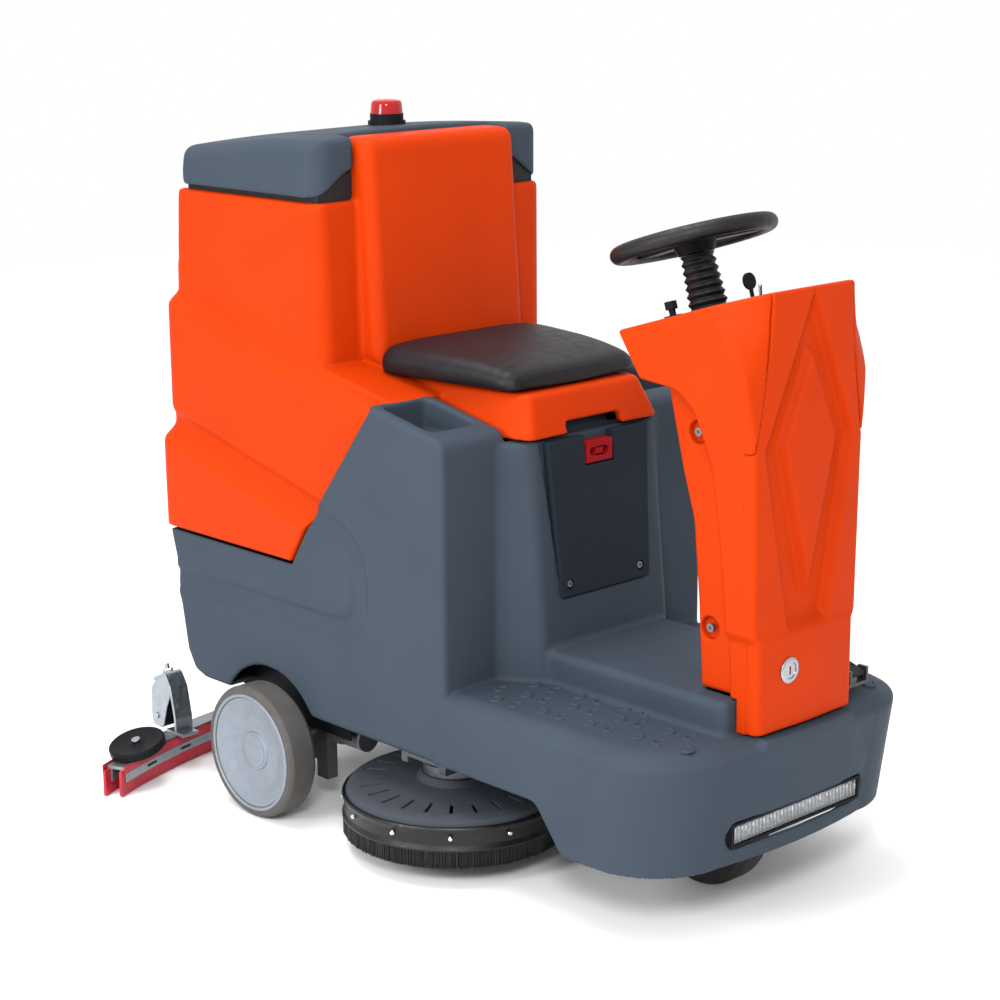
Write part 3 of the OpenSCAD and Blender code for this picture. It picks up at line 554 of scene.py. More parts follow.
def lid_field(g):
    sag = g.z + 10 * (g.y / 270) ** 2
    side = in_outline(
        g.x,
        sag,
        rounded(
            [
                (-302, 1100),
                (-307, 1180, 18),
                (-290, 1222, 30),
                (-60, 1248, 60),
                (60, LID_TOP, 40),
                (103, LID_TOP - 1, 17),
                (101, 1100),
            ]
        ),
    )
    lid = both(side, g.y - TOWER_HALF, 24)
    lid = both(lid, ((g.x - 103) + (g.y - TOWER_HALF) + 22) * 0.7071, 12)
    lid = both(lid, ((-307 - g.x) + (g.y - TOWER_HALF) + 18) * 0.7071, 10)
    foot = 1142.5 + 44 * ramp(g.x, 20, 96) * (1 - ramp(g.y, 188, 274))
    shell = both(lid, (foot - g.z) * 0.85, 7)
    shell = less(shell, g.block((54, 0, 1000), (300, BACK_HALF + 4, 1400), 8), 8)
    core = both(lid + WALL, g.z - 1300)
    core = less(core, g.block((54 - WALL, 0, 1000), (300, BACK_HALF + 4 + WALL, 1400)))
    return less(shell, core)


# ------------------------------------------------------------------ cowl


def cowl_width(g):
    """Half width of the dash and of the flange below it."""
    ahead = along(g.z, [(330, 122), (492, 122), (506, 130), (800, 136), (900, 150), (960, 155), (1046, 156)])
    return ahead + (DASH_HALF + 1 - ahead) * (1 - ramp(g.x, 800, 930))


def cowl_front_face(g):
    return 999 - 4 * (g.y / 120) ** 2


def cowl_envelope(g):
    """The dash, its curved knee and the flange that runs down to the deck."""
    outline = g.side(
        [
            (DASH_REAR[0] - 2, DASH_REAR[1], 5),
            (1010, DASH_REAR[1] + 296 * math.tan(DASH_ANGLE)),
            (1010, 320),
            (938, 320),
            (930, 500, 60),
            (918, 650, 90),
            (902, 770, 70),
            (872, 862, 70),
            (838, 890, 30),
            (761, 897, 12),
        ]
    )
    wide = cowl_width(g)
    shape = both(outline, (g.y - wide) * 0.98, 6)
    corner = along(g.z, [(800, 992), (850, 989), (903, 983), (960, 962), (1036, 924)])
    seam = along(g.z, [(800, 129), (842, 126), (958, 102), (1057, 99)])
    facet = ((g.x - 999) * (153 - seam) + (g.y - seam) * (999 - corner)) / np.hypot(153 - seam, 999 - corner)
    facet = np.where(g.z > 796, facet, -30).astype(np.float32)
    shape = both(shape, facet, 9)
    return both(shape, g.x - cowl_front_face(g), 16)


def cowl_field(g):
    envelope = cowl_envelope(g)
    column = g.side(
        [
            (864, TUNNEL_TOP + 3),
            (855, 540, 200),
            (843, 672, 120),
            (818, 752, 80),
            (786, 880),
            (786, 960),
            (975, 960),
            (975, 339),
            (949, 339),
            (949, TUNNEL_TOP + 3),
        ]
    )
    column = both(column, g.y - COLUMN_HALF, 10)
    foot = g.side([(700, 395), (949, 395), (949, 339), (1100, 339), (1100, 1200), (700, 1200)])
    envelope = both(envelope, foot, 2)
    shape = either(envelope, column, 5)
    for x, z in ((853, 818), (884, 499)):
        bore = np.sqrt((g.x - x) ** 2 + (g.z - z) ** 2) - 19
        shape = less(shape, both(bore, 100 - g.y), 2)
    return shape


def cowl_shell_field(g):
    shape = cowl_field(g)
    inner = both(cowl_envelope(g) + 14, g.y - 92)
    column_room = both(g.side([(880, 300), (872, 540), (860, 672), (834, 770), (800, 900), (975, 960), (975, 300)]), g.y - 92)
    shape = less(shape, either(inner, column_room))
    shape = less(shape, both(970 - g.x, g.y - panel_half(g) - 1.4, 3), 2)
    across = (g.x - DASH_REAR[0]) * math.cos(DASH_ANGLE) + (g.z - DASH_REAR[1]) * math.sin(DASH_ANGLE)
    above = (g.z - DASH_REAR[1]) * math.cos(DASH_ANGLE) - (g.x - DASH_REAR[0]) * math.sin(DASH_ANGLE)
    opening = both(both(np.abs(across - 130) - 96, g.y - 118, 14), np.abs(above) - 14)
    return less(shape, opening, 3)


def panel_half(g):
    return along(g.z, [(335, 150), (792, 150), (806, 130), (842, 124), (900, 113), (958, 104), (1060, 98)])


PANEL_RELIEF = 17


def panel_field(g):
    """The front panel: a raised diamond inside a sunk one, over a foot that stands a little proud."""
    upper, lower = 1050 - g.z, g.z - 560
    sunk = g.y - np.where(g.z > 806, 108 * upper / 244, 108 - 0.2 * (806 - g.z))
    raised = g.y - np.where(g.z > 806, 62 * (945 - g.z) / 139, 62 * (g.z - 572) / 234)
    depth = PANEL_RELIEF * (1 - ramp(sunk, -9, 4)) * ramp(raised, -4, 9) * ramp(g.z, 498, 522)
    depth = depth + 4 * ramp(g.z, 492, 510)
    envelope = cowl_envelope(g)
    face = (g.x - cowl_front_face(g) + depth) * 0.85
    panel = both(envelope, face, 3)
    panel = both(panel, 966.6 - g.x)
    panel = both(panel, g.y - panel_half(g) + 1, 2)
    panel = both(panel, 341 - g.z, 3)
    return panel


def moulded(name, grid, shape, body, node, keep=0.25):
    """A moulded shell from its distance field, which stands for a CAD node."""
    obj = skin(name, grid, shape(grid), keep)
    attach(obj, body)
    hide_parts(node)
    return obj


body_skin = moulded("grey_body", Grid((-345, 1030), 335, (110, 830), 5), body_field, "chassis", "base_body")
tank_skin = moulded("orange_tank", Grid((-350, 535), 335, (475, 1260), 5), tank_field, "tank", "recovery_tank")
lid_skin = moulded("grey_lid", Grid((-320, 120), 285, (1128, 1268), 4), lid_field, "lid", "tank_lid", 0.3)
cowl_skin = moulded("orange_cowl", Grid((700, 1010), 165, (325, 1062), 3), cowl_shell_field, "chassis", "cowl_shell", 0.3)
panel_skin = moulded("orange_panel", Grid((958, 1010), 147, (330, 1062), 3), panel_field, "chassis", "cowl_front", 0.35)

# ------------------------------------------------------------------ materials


def linear(code):
    """A #rrggbb colour as linear RGB and alpha."""
    parts = [int(code[i : i + 2], 16) / 255 for i in (1, 3, 5)]
    return [p / 12.92 if p <= 0.04045 else ((p + 0.055) / 1.055) ** 2.4 for p in parts] + [1]


class Finish:
    """A material built from nodes, in the row frame's metres, so that its detail has its real size."""

    def __init__(self, name, colour, rough, metal=0.0):
        self.material = bpy.data.materials.new(name)
        self.material.use_nodes = True
        self.tree = self.material.node_tree
        self.shader = self.tree.nodes["Principled BSDF"]
        self.shader.inputs["Base Color"].default_value = linear(colour)
        self.shader.inputs["Roughness"].default_value = rough
        self.shader.inputs["Metallic"].default_value = metal
        self.place = self.add("ShaderNodeTexCoord").outputs["Object"]
        self.colour = linear(colour)

    def add(self, kind, **inputs):
        node = self.tree.nodes.new(kind)
        for key, value in inputs.items():
            socket = node.inputs[int(key[1:]) if key[0] == "_" else key.replace("_", " ")]
            if isinstance(value, bpy.types.NodeSocket):
                self.tree.links.new(value, socket)
            else:
                socket.default_value = value
        return node

    def noise(self, size, detail=3.0, stretch=(1, 1, 1)):
        """Noise whose blotches are about size metres across."""
        place = self.place
        if stretch != (1, 1, 1):
            place = self.add("ShaderNodeMapping", Vector=place, Scale=stretch).outputs[0]
        return self.add("ShaderNodeTexNoise", Vector=place, Scale=1 / size, Detail=detail).outputs["Fac"]

    def spread(self, value, low, high, start=0.3, end=0.7):
        return self.add(
            "ShaderNodeMapRange", Value=value, From_Min=start, From_Max=end, To_Min=low, To_Max=high
        ).outputs[0]

    def mottle(self, size, amount):
        """Slow changes of brightness, as on moulded plastic and worn metal."""
        shade = self.spread(self.noise(size), 1 - amount, 1 + amount)
        mix = self.add("ShaderNodeVectorMath", _0=self.colour[:3])
        mix.operation = "SCALE"
        self.tree.links.new(shade, mix.inputs["Scale"])
        self.tree.links.new(mix.outputs[0], self.shader.inputs["Base Color"])
        return self

    def gloss(self, size, low, high, detail=4.0):
        self.tree.links.new(self.spread(self.noise(size, detail), low, high), self.shader.inputs["Roughness"])
        return self

    def bump(self, height, depth, strength=1.0):
        last = self.shader.inputs["Normal"].links
        bump = self.add("ShaderNodeBump", Height=height, Distance=depth, Strength=strength)
        if last:
            self.tree.links.new(last[0].from_socket, bump.inputs["Normal"])
        self.tree.links.new(bump.outputs[0], self.shader.inputs["Normal"])
        return self

    def grain(self, size, depth, stretch=(1, 1, 1), strength=1.0):
        return self.bump(self.noise(size, 2.0, stretch), depth, strength)

    def ribs(self, direction, pitch, depth):
        """Even ribs across one direction, pitch metres apart."""
        wave = self.add("ShaderNodeTexWave", Vector=self.place, Scale=math.tau / pitch / 20, Distortion=0.0)
        wave.bands_direction = direction
        return self.bump(wave.outputs["Fac"], depth)

    def wear(self, code, amount, start=0.52, end=0.6):
        """A lighter colour along outer edges."""
        edge = self.add("ShaderNodeNewGeometry").outputs["Pointiness"]
        share = self.spread(edge, 0, amount, start, end)
        mix = self.add("ShaderNodeMix")
        mix.data_type = "RGBA"
        old = self.shader.inputs["Base Color"].links
        self.tree.links.new(share, mix.inputs[0])
        if old:
            self.tree.links.new(old[0].from_socket, mix.inputs[6])
        else:
            mix.inputs[6].default_value = self.colour
        mix.inputs[7].default_value = linear(code)
        self.tree.links.new(mix.outputs[2], self.shader.inputs["Base Color"])
        return self

    def set(self, **inputs):
        for key, value in inputs.items():
            self.shader.inputs[key.replace("_", " ")].default_value = value
        return self


def moulding(name, colour, rough=0.42, texture=0.0009, depth=0.00012):
    """Rotomoulded plastic: a soft sheen over a fine, slightly uneven texture."""
    finish = Finish(name, colour, rough).mottle(0.12, 0.04).gloss(0.03, rough - 0.05, rough + 0.07)
    finish.grain(texture, depth).grain(0.05, 0.0006, strength=0.4)
    return finish.set(Specular_IOR_Level=0.05)


def rubber(name, colour, rough=0.7):
    finish = Finish(name, colour, rough).mottle(0.03, 0.12).gloss(0.01, rough - 0.1, rough + 0.1)
    return finish.grain(0.0012, 0.0002).set(Specular_IOR_Level=0.35)


def metal(name, colour, rough=0.3, brushed=(1, 1, 1)):
    finish = Finish(name, colour, rough, 1.0).mottle(0.02, 0.06).gloss(0.008, rough - 0.08, rough + 0.12)
    return finish.grain(0.0006, 0.00004, brushed)


def paint(name, colour, rough=0.4):
    finish = Finish(name, colour, rough).mottle(0.05, 0.05).gloss(0.02, rough - 0.06, rough + 0.08)
    return finish.grain(0.002, 0.00015).wear("#77777a", 0.35)


ORANGE = moulding("orange_plastic", "#b43204", 0.45)
GREY = moulding("grey_plastic", "#38414b", 0.5)
DARK_GREY = moulding("dark_grey_plastic", "#20272f", 0.5)
BLACK = moulding("black_plastic", "#17181a", 0.42)
HOUSING = moulding("brush_housing_plastic", "#3d4148", 0.5, 0.0014, 0.0002)
GRIP = rubber("soft_black_grip", "#08080a", 0.5)
RUBBER = rubber("black_rubber", "#19191a")
SKIRT = rubber("skirt_rubber", "#0b0b0d", 0.38)
TYRE_BLACK = rubber("black_tyre", "#1b1b1c", 0.75)
TYRE_GREY = rubber("grey_tyre", "#494745", 0.7)
SILVER = metal("silver_paint", "#838b94", 0.5).set(Metallic=0.6, Specular_IOR_Level=0.3)
RED_RUBBER = rubber("red_rubber", "#a41026", 0.45).set(Coat_Weight=0.15)
RED_PLASTIC = moulding("red_plastic", "#8c0f14", 0.35)
FRAME = paint("frame_paint", "#222326")
STEEL = metal("bright_steel", "#a8abb0", 0.3)
ZINC = metal("zinc_plate", "#8f979f", 0.38).wear("#dfe3e8", 0.4)
MOTOR = metal("motor_steel", "#7d8187", 0.45)
CAST = metal("cast_alloy", "#8b8d90", 0.55)
STRIP = metal("alloy_strip", "#8d9196", 0.4, (1, 1, 8)).set(Metallic=0.8)
CHROME = metal("chrome", "#d9dbde", 0.1)
BATTERY = moulding("battery_case", "#1d2330", 0.45)
BRISTLE = Finish("nylon_bristle", "#3a3f4a", 0.5).mottle(0.004, 0.25).set(Specular_IOR_Level=0.4)
CLEAR = Finish("clear_lens", "#f3f7fa", 0.08).grain(0.004, 0.0001).ribs("Y", 0.009, 0.0012).set(
    Transmission_Weight=0.9, IOR=1.49, Specular_IOR_Level=0.6
)
HOSE = rubber("ribbed_hose", "#202123", 0.5).ribs("Z", 0.012, 0.003)
RED_LENS = Finish("red_lens", "#d01515", 0.12).grain(0.003, 0.0001).set(Transmission_Weight=0.55, IOR=1.45)


def coat(obj, finish):
    """Give the object one material."""
    obj.data.materials.clear()
    obj.data.materials.append(finish.material)
    return obj


for piece in (body_skin, lid_skin):
    coat(piece, GREY)
for piece in (tank_skin, cowl_skin, panel_skin):
    coat(piece, ORANGE)


def soften(obj, width, angle=32):
    """Round a CAD node's hard edges for the render, without changing its mesh."""
    obj.data.shade_smooth()
    for name in ("custom_normal", "sharp_edge", "sharp_face"):
        if name in obj.data.attributes:
            obj.data.attributes.remove(obj.data.attributes[name])
    obj.modifiers.new("weld", "WELD").merge_threshold = 1e-5
    if not width:
        return obj
    bevel = obj.modifiers.new("bevel", "BEVEL")
    bevel.width, bevel.segments, bevel.limit_method = width * MM, 2, "ANGLE"
    bevel.angle_limit = math.radians(angle)
    bevel.use_clamp_overlap = True
    obj.modifiers.new("normals", "WEIGHTED_NORMAL").weight = 60
    return obj


CAD_FINISH = {
    "chassis_frame": (FRAME, 1.5),
    "rear_axle": (STEEL, 0.8),
    "wheel_bearings": (STEEL, 0.6),
    "battery_door": (DARK_GREY, 2.5),
    "body_screws": (MOTOR, 0.6),
    "charge_socket": (RED_PLASTIC, 1.5),
    "batteries": (BATTERY, 3),
    "vacuum_motor": (MOTOR, 2),
    "solution_pump": (CAST, 1.5),
    "motor_controller": (STRIP, 1.5),
    "cowl_lock": (STEEL, 0.6),
    "dash_panel": (BLACK, 2),
    "steering_column": (FRAME, 1.2),
    "column_bellows": (GRIP, 0.8),
    "headlight_housing": (BLACK, 1),
    "headlight_lens": (CLEAR, 1),
    "suction_elbow": (BLACK, 1.5),
    "suction_hose": (HOSE, 0),
    "steering_hub": (BLACK, 2),
    "ignition_key": (BLACK, 1),
    "toggle_switch": (CHROME, 0.5),
    "direction_lever": (BLACK, 1),
    "drive_pedal": (RUBBER, 2),
    "pedal_bracket": (FRAME, 1),
    "drive_fork": (FRAME, 1.5),
    "brush_deck_frame": (FRAME, 1.5),
    "brush_cover_right": (HOUSING, 1.5),
    "brush_cover_left": (HOUSING, 1.5),
    "skirt_screws": (CHROME, 0.4),
    "brush_motors": (MOTOR, 2),
    "squeegee_arm": (ZINC, 1),
    "squeegee_channel": (STRIP, 1),
    "squeegee_blade_front": (RED_RUBBER, 0.5),
    "squeegee_blade_rear": (RED_RUBBER, 0.5),
    "caster_forks": (ZINC, 0.8),
    "suction_nozzle": (BLACK, 1.5),
    "roller_right": (BLACK, 1.2),
    "roller_left": (BLACK, 1.2),
    "caster_wheel_right": (BLACK, 1.2),
    "caster_wheel_left": (BLACK, 1.2),
    "drain_cap": (BLACK, 1.2),
    "beacon_base": (BLACK, 1.5),
    "beacon_dome": (RED_LENS, 1),
}
for name, (finish, width) in CAD_FINISH.items():
    if not nodes[name].hide_render:
        coat(nodes[name], finish)
        soften(nodes[name], width)

# ------------------------------------------------------------------ turned parts


def turned(name, outline, place, axis, steps=96, parts=5):
    """A solid of revolution. outline is (radius, height, corner radius) points, and place is in mm from the axle."""
    profile = rounded(outline, 0, parts)
    count = len(profile)
    turn = np.linspace(0, math.tau, steps, endpoint=False)
    points = np.stack(
        [
            np.outer(np.cos(turn), profile[:, 0]),
            np.outer(np.sin(turn), profile[:, 0]),
            np.broadcast_to(profile[:, 1], (steps, count)),
        ],
        axis=-1,
    ).reshape(-1, 3)
    ring, spot = np.meshgrid(np.arange(steps), np.arange(count), indexing="ij")
    far_ring, far_spot = (ring + 1) % steps, (spot + 1) % count
    faces = np.stack(
        [ring * count + spot, far_ring * count + spot, far_ring * count + far_spot, ring * count + far_spot], axis=-1
    )
    obj = link(name, mesh_of(name, points * MM, faces.reshape(-1, 4)))
    work = bmesh.new()
    work.from_mesh(obj.data)
    bmesh.ops.remove_doubles(work, verts=work.verts, dist=1e-6)
    bmesh.ops.recalc_face_normals(work, faces=work.faces)
    work.to_mesh(obj.data)
    work.free()
    turn_to = Vector((0, 0, 1)).rotation_difference(Vector(axis).normalized()).to_matrix().to_4x4()
    obj.data.transform(Matrix.Translation(row(*place)) @ turn_to)
    obj.data.shade_smooth()
    obj.data.set_sharp_from_angle(angle=math.radians(28))
    return obj


def fitted(obj, finish, body, node=None):
    coat(obj, finish)
    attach(obj, body)
    if node:
        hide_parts(node)
    return obj


def wheel(side):
    """A rear wheel: grey tyre on a dished silver disc."""
    label = "right" if side < 0 else "left"
    place, axis = (0, side * 353, 125), (0, side, 0)
    tyre = [(96, -29, 2), (98, -31, 2), (117, -31, 5), (125, -22, 8), (125, 24, 6), (120, 31, 4), (104, 31, 1), (96, 18)]
    fitted(turned(f"tyre_{label}", tyre, place, axis, 128), TYRE_GREY, f"wheel_{label}", f"rear_tyre_{label}")
    disc = [
        (26.1, -28),
        (40, -28, 3),
        (42, 4, 5),
        (86, 4, 4),
        (89, -28, 2),
        (95.9, -28),
        (96.2, 24, 2),
        (110.5, 27),
        (110.5, 32, 1.5),
        (106, 33, 2),
        (103, 29, 3),
        (98, 28, 4),
        (70, 19, 40),
        (46, 16, 20),
        (37, 16, 2),
        (35, 20, 2),
        (26.1, 20),
    ]
    fitted(turned(f"disc_{label}", disc, place, axis, 128), SILVER, f"wheel_{label}", f"rear_rim_{label}")
    cap = [(0, 16), (30, 16), (30, 21, 1), (26, 21.6, 3), (0, 21)]
    fitted(turned(f"hub_cap_{label}", cap, place, axis, 64), SILVER, f"wheel_{label}")


for side in (-1, 1):
    wheel(side)

DRIVE = (782, 0, 125)
drive_tyre = [(88, -25), (96, -31, 3), (115, -31, 5), (125, -21, 7), (125, 21, 7), (115, 31, 5), (96, 31, 3), (88, 25)]
fitted(turned("drive_tread", drive_tyre, DRIVE, (0, 1, 0), 128), TYRE_BLACK, "drive_wheel", "drive_tyre")
drive_disc = [(0, -51), (12, -51, 1), (12, -37, 2), (50, -36, 3), (58, -29, 4), (78, -29, 4), (87.9, -34, 2)]
drive_disc = drive_disc + [(r, -h, *corner) for r, h, *corner in reversed(drive_disc)]
fitted(turned("drive_disc", drive_disc, DRIVE, (0, 1, 0), 96), CAST, "drive_wheel", "drive_hub")

COLUMN_LEAN = math.radians(18)
COLUMN_WAY = (-math.sin(COLUMN_LEAN), 0, math.cos(COLUMN_LEAN))
grip = [(126 + 14 * math.cos(a), 14 * math.sin(a)) for a in np.linspace(0, math.tau, 28, endpoint=False)]
rim = turned("steering_grip", grip, (738, 0, 1105), COLUMN_WAY, 144)
fitted(rim, GRIP, "steering_wheel", "steering_rim")

# ------------------------------------------------------------------ squeegee strips, black arch walls in painted shade, and tank seal

SQUEEGEE_RADIUS, SQUEEGEE_BACK = 1222, 374


def ribbon(name, inner, outer, low, high, half, finish, start=None):
    """A strip that follows the squeegee's curve, from start to half across, or from end to end."""
    reach = math.asin(half / SQUEEGEE_RADIUS)
    first = -reach if start is None else math.asin(start / SQUEEGEE_RADIUS)
    points, faces = [], []
    turns = np.linspace(first, reach, max(3, int(abs(reach - first) / 0.012)))
    for a in turns:
        for r, z in ((inner, low), (outer, low), (outer, high), (inner, high)):
            r = SQUEEGEE_RADIUS + r
            points.append(
                tuple(row(SQUEEGEE_RADIUS - SQUEEGEE_BACK - r * math.cos(a), r * math.sin(a), z))
            )
    for i in range(len(turns) - 1):
        for k in range(4):
            n = (k + 1) % 4
            faces.append((4 * i + k, 4 * i + n, 4 * i + 4 + n, 4 * i + 4 + k))
    last = 4 * (len(turns) - 1)
    faces += [(3, 2, 1, 0), (last, last + 1, last + 2, last + 3)]
    mesh = bpy.data.meshes.new(name)
    mesh.from_pydata(points, [], faces)
    obj = link(name, mesh)
    work = bmesh.new()
    work.from_mesh(mesh)
    bmesh.ops.recalc_face_normals(work, faces=work.faces)
    work.to_mesh(mesh)
    work.free()
    soften(obj, 0.5)
    return fitted(obj, finish, "squeegee_head")


def squeegee():
    """Clamping strips outside the two blades, with the blades' red top lips beside the channel."""
    for label, inner, outer in (("front", -21.5, -19.1), ("rear", 19.1, 21.5)):
        ribbon(f"clamp_{label}", inner, outer, 27, 45, 500, STRIP)
        for i in range(-4, 5):
            middle = 104 * i
            face = outer if outer > 0 else inner
            near = sorted((face, face + math.copysign(1.2, face)))
            ribbon(f"clamp_slot_{label}_{i + 4}", *near, 34, 38, middle + 14, BLACK, middle - 14)
    ribbon("lip_front", -22.5, -20.1, 46, 62, 506, RED_RUBBER)
    ribbon("lip_rear", 20.1, 22.5, 46, 62, 512, RED_RUBBER)


squeegee()


def slab(name, low, high, finish, body, width=1.5):
    """A plate with eased edges between two corners, in mm from the axle."""
    mesh = bpy.data.meshes.new(name)
    work = bmesh.new()
    bmesh.ops.create_cube(work, size=1)
    for vertex in work.verts:
        vertex.co = row(*(lo + (hi - lo) * (c + 0.5) for lo, hi, c in zip(low, high, vertex.co)))
    work.to_mesh(mesh)
    work.free()
    obj = link(name, mesh)
    soften(obj, width)
    return fitted(obj, finish, body)


for side, label in ((-1, "right"), (1, "left")):
    near, far = sorted((side * 256, side * 262))
    slab(f"tank_seal_{label}", (-292, near, 1120), (90, far, 1152), RUBBER, "tank", 2)
    slab(f"tank_seal_rise_{label}", (20, near, 1150), (90, far, 1180), RUBBER, "tank", 2)
slab("tank_seal_rear", (-296, -256, 1120), (-290, 256, 1152), RUBBER, "tank", 2)
slab("tank_seal_front", (84, -256, 1120), (90, 256, 1184), RUBBER, "tank", 2)

# ------------------------------------------------------------------ caster brackets


def plate(name, outline, low, high, finish, body, width=1.0):
    """A sheet cut to an outline of (x, z, corner radius) points, between two y, in mm from the axle."""
    edge = rounded(outline)
    count = len(edge)
    points = [tuple(row(x, y, z)) for y in (low, high) for x, z in edge]
    faces = [tuple(range(count)), tuple(range(2 * count - 1, count - 1, -1))]
    for i in range(count):
        n = (i + 1) % count
        faces.append((i, n, count + n, count + i))
    mesh = bpy.data.meshes.new(name)
    mesh.from_pydata(points, [], faces)
    work = bmesh.new()
    work.from_mesh(mesh)
    bmesh.ops.recalc_face_normals(work, faces=work.faces)
    work.to_mesh(mesh)
    work.free()
    obj = link(name, mesh)
    soften(obj, width)
    return fitted(obj, finish, body)


CHEEK = [
    (-390, 92, 17),
    (-388, 148, 16),
    (-368, 172, 10),
    (-336, 182, 12),
    (-322, 152, 16),
    (-340, 112, 14),
    (-352, 72, 16),
    (-386, 70, 16),
]
STRAP = [
    (-377, 171, 2),
    (-338, 190, 12),
    (-318, 160, 24),
    (-306, 100, 16),
    (-306, 73, 3),
    (-286, 73, 1),
    (-286, 66.5, 1),
    (-340, 66.5, 1),
    (-340, 73, 1),
    (-312, 73, 3),
    (-312, 98, 16),
    (-323, 156, 22),
    (-341, 182, 10),
    (-375, 164, 2),
]


def caster_bracket(side):
    label = "right" if side < 0 else "left"
    body, middle = "squeegee_head", side * 312
    for i, gap in enumerate((-17.5, 15.2)):
        plate(f"caster_cheek_{label}_{i}", CHEEK, middle + gap, middle + gap + 2.3, ZINC, body)
    plate(f"caster_strap_{label}", STRAP, middle - 20, middle + 20, ZINC, body)
    lean = (-0.3, 0, 0.954)
    stem = [(0, -10), (5, -10), (5, 20, 1), (0, 20)]
    fitted(turned(f"caster_stem_{label}", stem, (-352, middle, 180), lean, 24), STEEL, body)
    nut = [(0, 0), (11, 0, 1), (11, 7, 1), (0, 7)]
    fitted(turned(f"caster_nut_{label}", nut, (-353, middle, 183), lean, 6, 2), STEEL, body)
    for i, out in enumerate((-20.4, 17.4)):
        bolt = [(0, 0), (6.5, 0, 1), (6.5, 3, 1), (0, 3)]
        place = (-372, middle + out, 92)
        fitted(turned(f"caster_bolt_{label}_{i}", bolt, place, (0, 1, 0), 24), STEEL, body)
    pin = [(0, -20), (4.9, -20), (4.9, 8.6), (9, 8.6, 1), (9, 13.4, 1), (0, 13.4)]
    place, axis = (-282, side * 440, 82), (0, side * math.sin(math.radians(15)), math.cos(math.radians(15)))
    fitted(turned(f"roller_pin_{label}", pin, place, axis, 24), STEEL, body, "caster_forks")


# Thin walls inside the rear arches stop the view through the hollow body. Their black is painted shade for the dark
# inside of the arch.
ARCH_SHADE_WALL_OUTLINE = [(-205, 275), (-205, 207, 6), (-160, 180, 20), (-140, 152, 10), (145, 152), (145, 275)]
for side, label in ((-1, "right"), (1, "left")):
    caster_bracket(side)
    near, far = sorted((side * 257, side * 260))
    plate(f"arch_shade_wall_{label}", ARCH_SHADE_WALL_OUTLINE, near, far, BLACK, "chassis")

# ------------------------------------------------------------------ brushes

BRUSH_X, BRUSH_Y, BRUSH_LIFT = 370, 206, 38


def tufts(name, place, rings, low, high, thick, seed):
    """Rings of bristle bundles. Each is a thin three-sided spike that leans a little at random."""
    chance = np.random.default_rng(seed)
    points, faces = [], []
    for radius, count in rings:
        for i in range(count):
            a = math.tau * (i + chance.uniform(-0.3, 0.3)) / count
            lean, twist = chance.uniform(-1.5, 1.5), chance.uniform(0, math.tau)
            start = len(points)
            for z, wide, out in ((high, thick, 0), (low + chance.uniform(0, 1.5), thick * 0.7, lean)):
                for k in range(3):
                    t = twist + math.tau * k / 3
                    r = radius + out
                    x = place[0] + r * math.cos(a) + wide * math.cos(t)
                    y = place[1] + r * math.sin(a) + wide * math.sin(t)
                    points.append(tuple(row(x, y, z)))
            for k in range(3):
                n = (k + 1) % 3
                faces.append((start + k, start + n, start + 3 + n, start + 3 + k))
            faces.append((start + 5, start + 4, start + 3, start + 3))
    mesh = bpy.data.meshes.new(name)
    mesh.from_pydata(points, [], [tuple(dict.fromkeys(face)) for face in faces])
    mesh.shade_smooth()
    return link(name, mesh)


def brush(side):
    label = "right" if side < 0 else "left"
    place = (BRUSH_X, side * BRUSH_Y, BRUSH_LIFT)
    band = [
        (197.3, 75),
        (202, 75, 1),
        (204, 71, 2),
        (202, 67, 2),
        (200, 62, 4),
        (200, 43, 4),
        (202, 38, 2),
        (204, 34, 2),
        (203, 31, 1),
        (197.3, 31),
    ]
    fitted(
        turned(f"skirt_band_{label}", band, place, (0, 0, 1), 144),
        SKIRT,
        "brush_deck",
        f"splash_skirt_{label}",
    )
    rings = [(196.5, 460), (198.5, 460), (200.5, 460)]
    fringe = tufts(f"skirt_fringe_{label}", place, rings, BRUSH_LIFT, BRUSH_LIFT + 32, 1.7, 5)
    fitted(fringe, FRINGE, "brush_deck", None)
    backing = [(192, 4), (197, 4), (197, 33), (192, 33)]
    fitted(turned(f"skirt_backing_{label}", backing, place, (0, 0, 1), 144), FRINGE, "brush_deck")
    disc = [(14.2, 60), (34, 60, 1), (34, 93, 2), (14.2, 93)]
    hub = turned(f"brush_socket_{label}", disc, place, (0, 0, 1), 64)
    fitted(hub, BLACK, f"brush_head_{label}")
    plate = [(0, 42), (182, 42, 2), (182, 58, 3), (30, 60, 3), (0, 60)]
    fitted(
        turned(f"brush_plate_{label}", plate, place, (0, 0, 1), 128),
        BLACK,
        f"brush_head_{label}",
        f"brush_{label}",
    )
    rings = [(90 + 15 * k, int(60 + 12 * k)) for k in range(7)]
    bristles = tufts(f"brush_bristles_{label}", place, rings, BRUSH_LIFT + 1, BRUSH_LIFT + 43, 2.6, 9)
    fitted(bristles, BRISTLE, f"brush_head_{label}")


FRINGE = Finish("fringe_bristle", "#101113", 0.6).mottle(0.004, 0.25).set(Specular_IOR_Level=0.35)
for side in (-1, 1):
    brush(side)

# ------------------------------------------------------------------ ring around the lock

lock_ring = [(14.2, -9), (22, -9), (22, 0, 1.5), (18.5, 1.6, 1), (14.2, 1.6)]
fitted(turned("lock_ring", lock_ring, (999.5, -48, 439), (1, 0, 0), 64), STEEL, "chassis")

# ------------------------------------------------------------------ deck tread


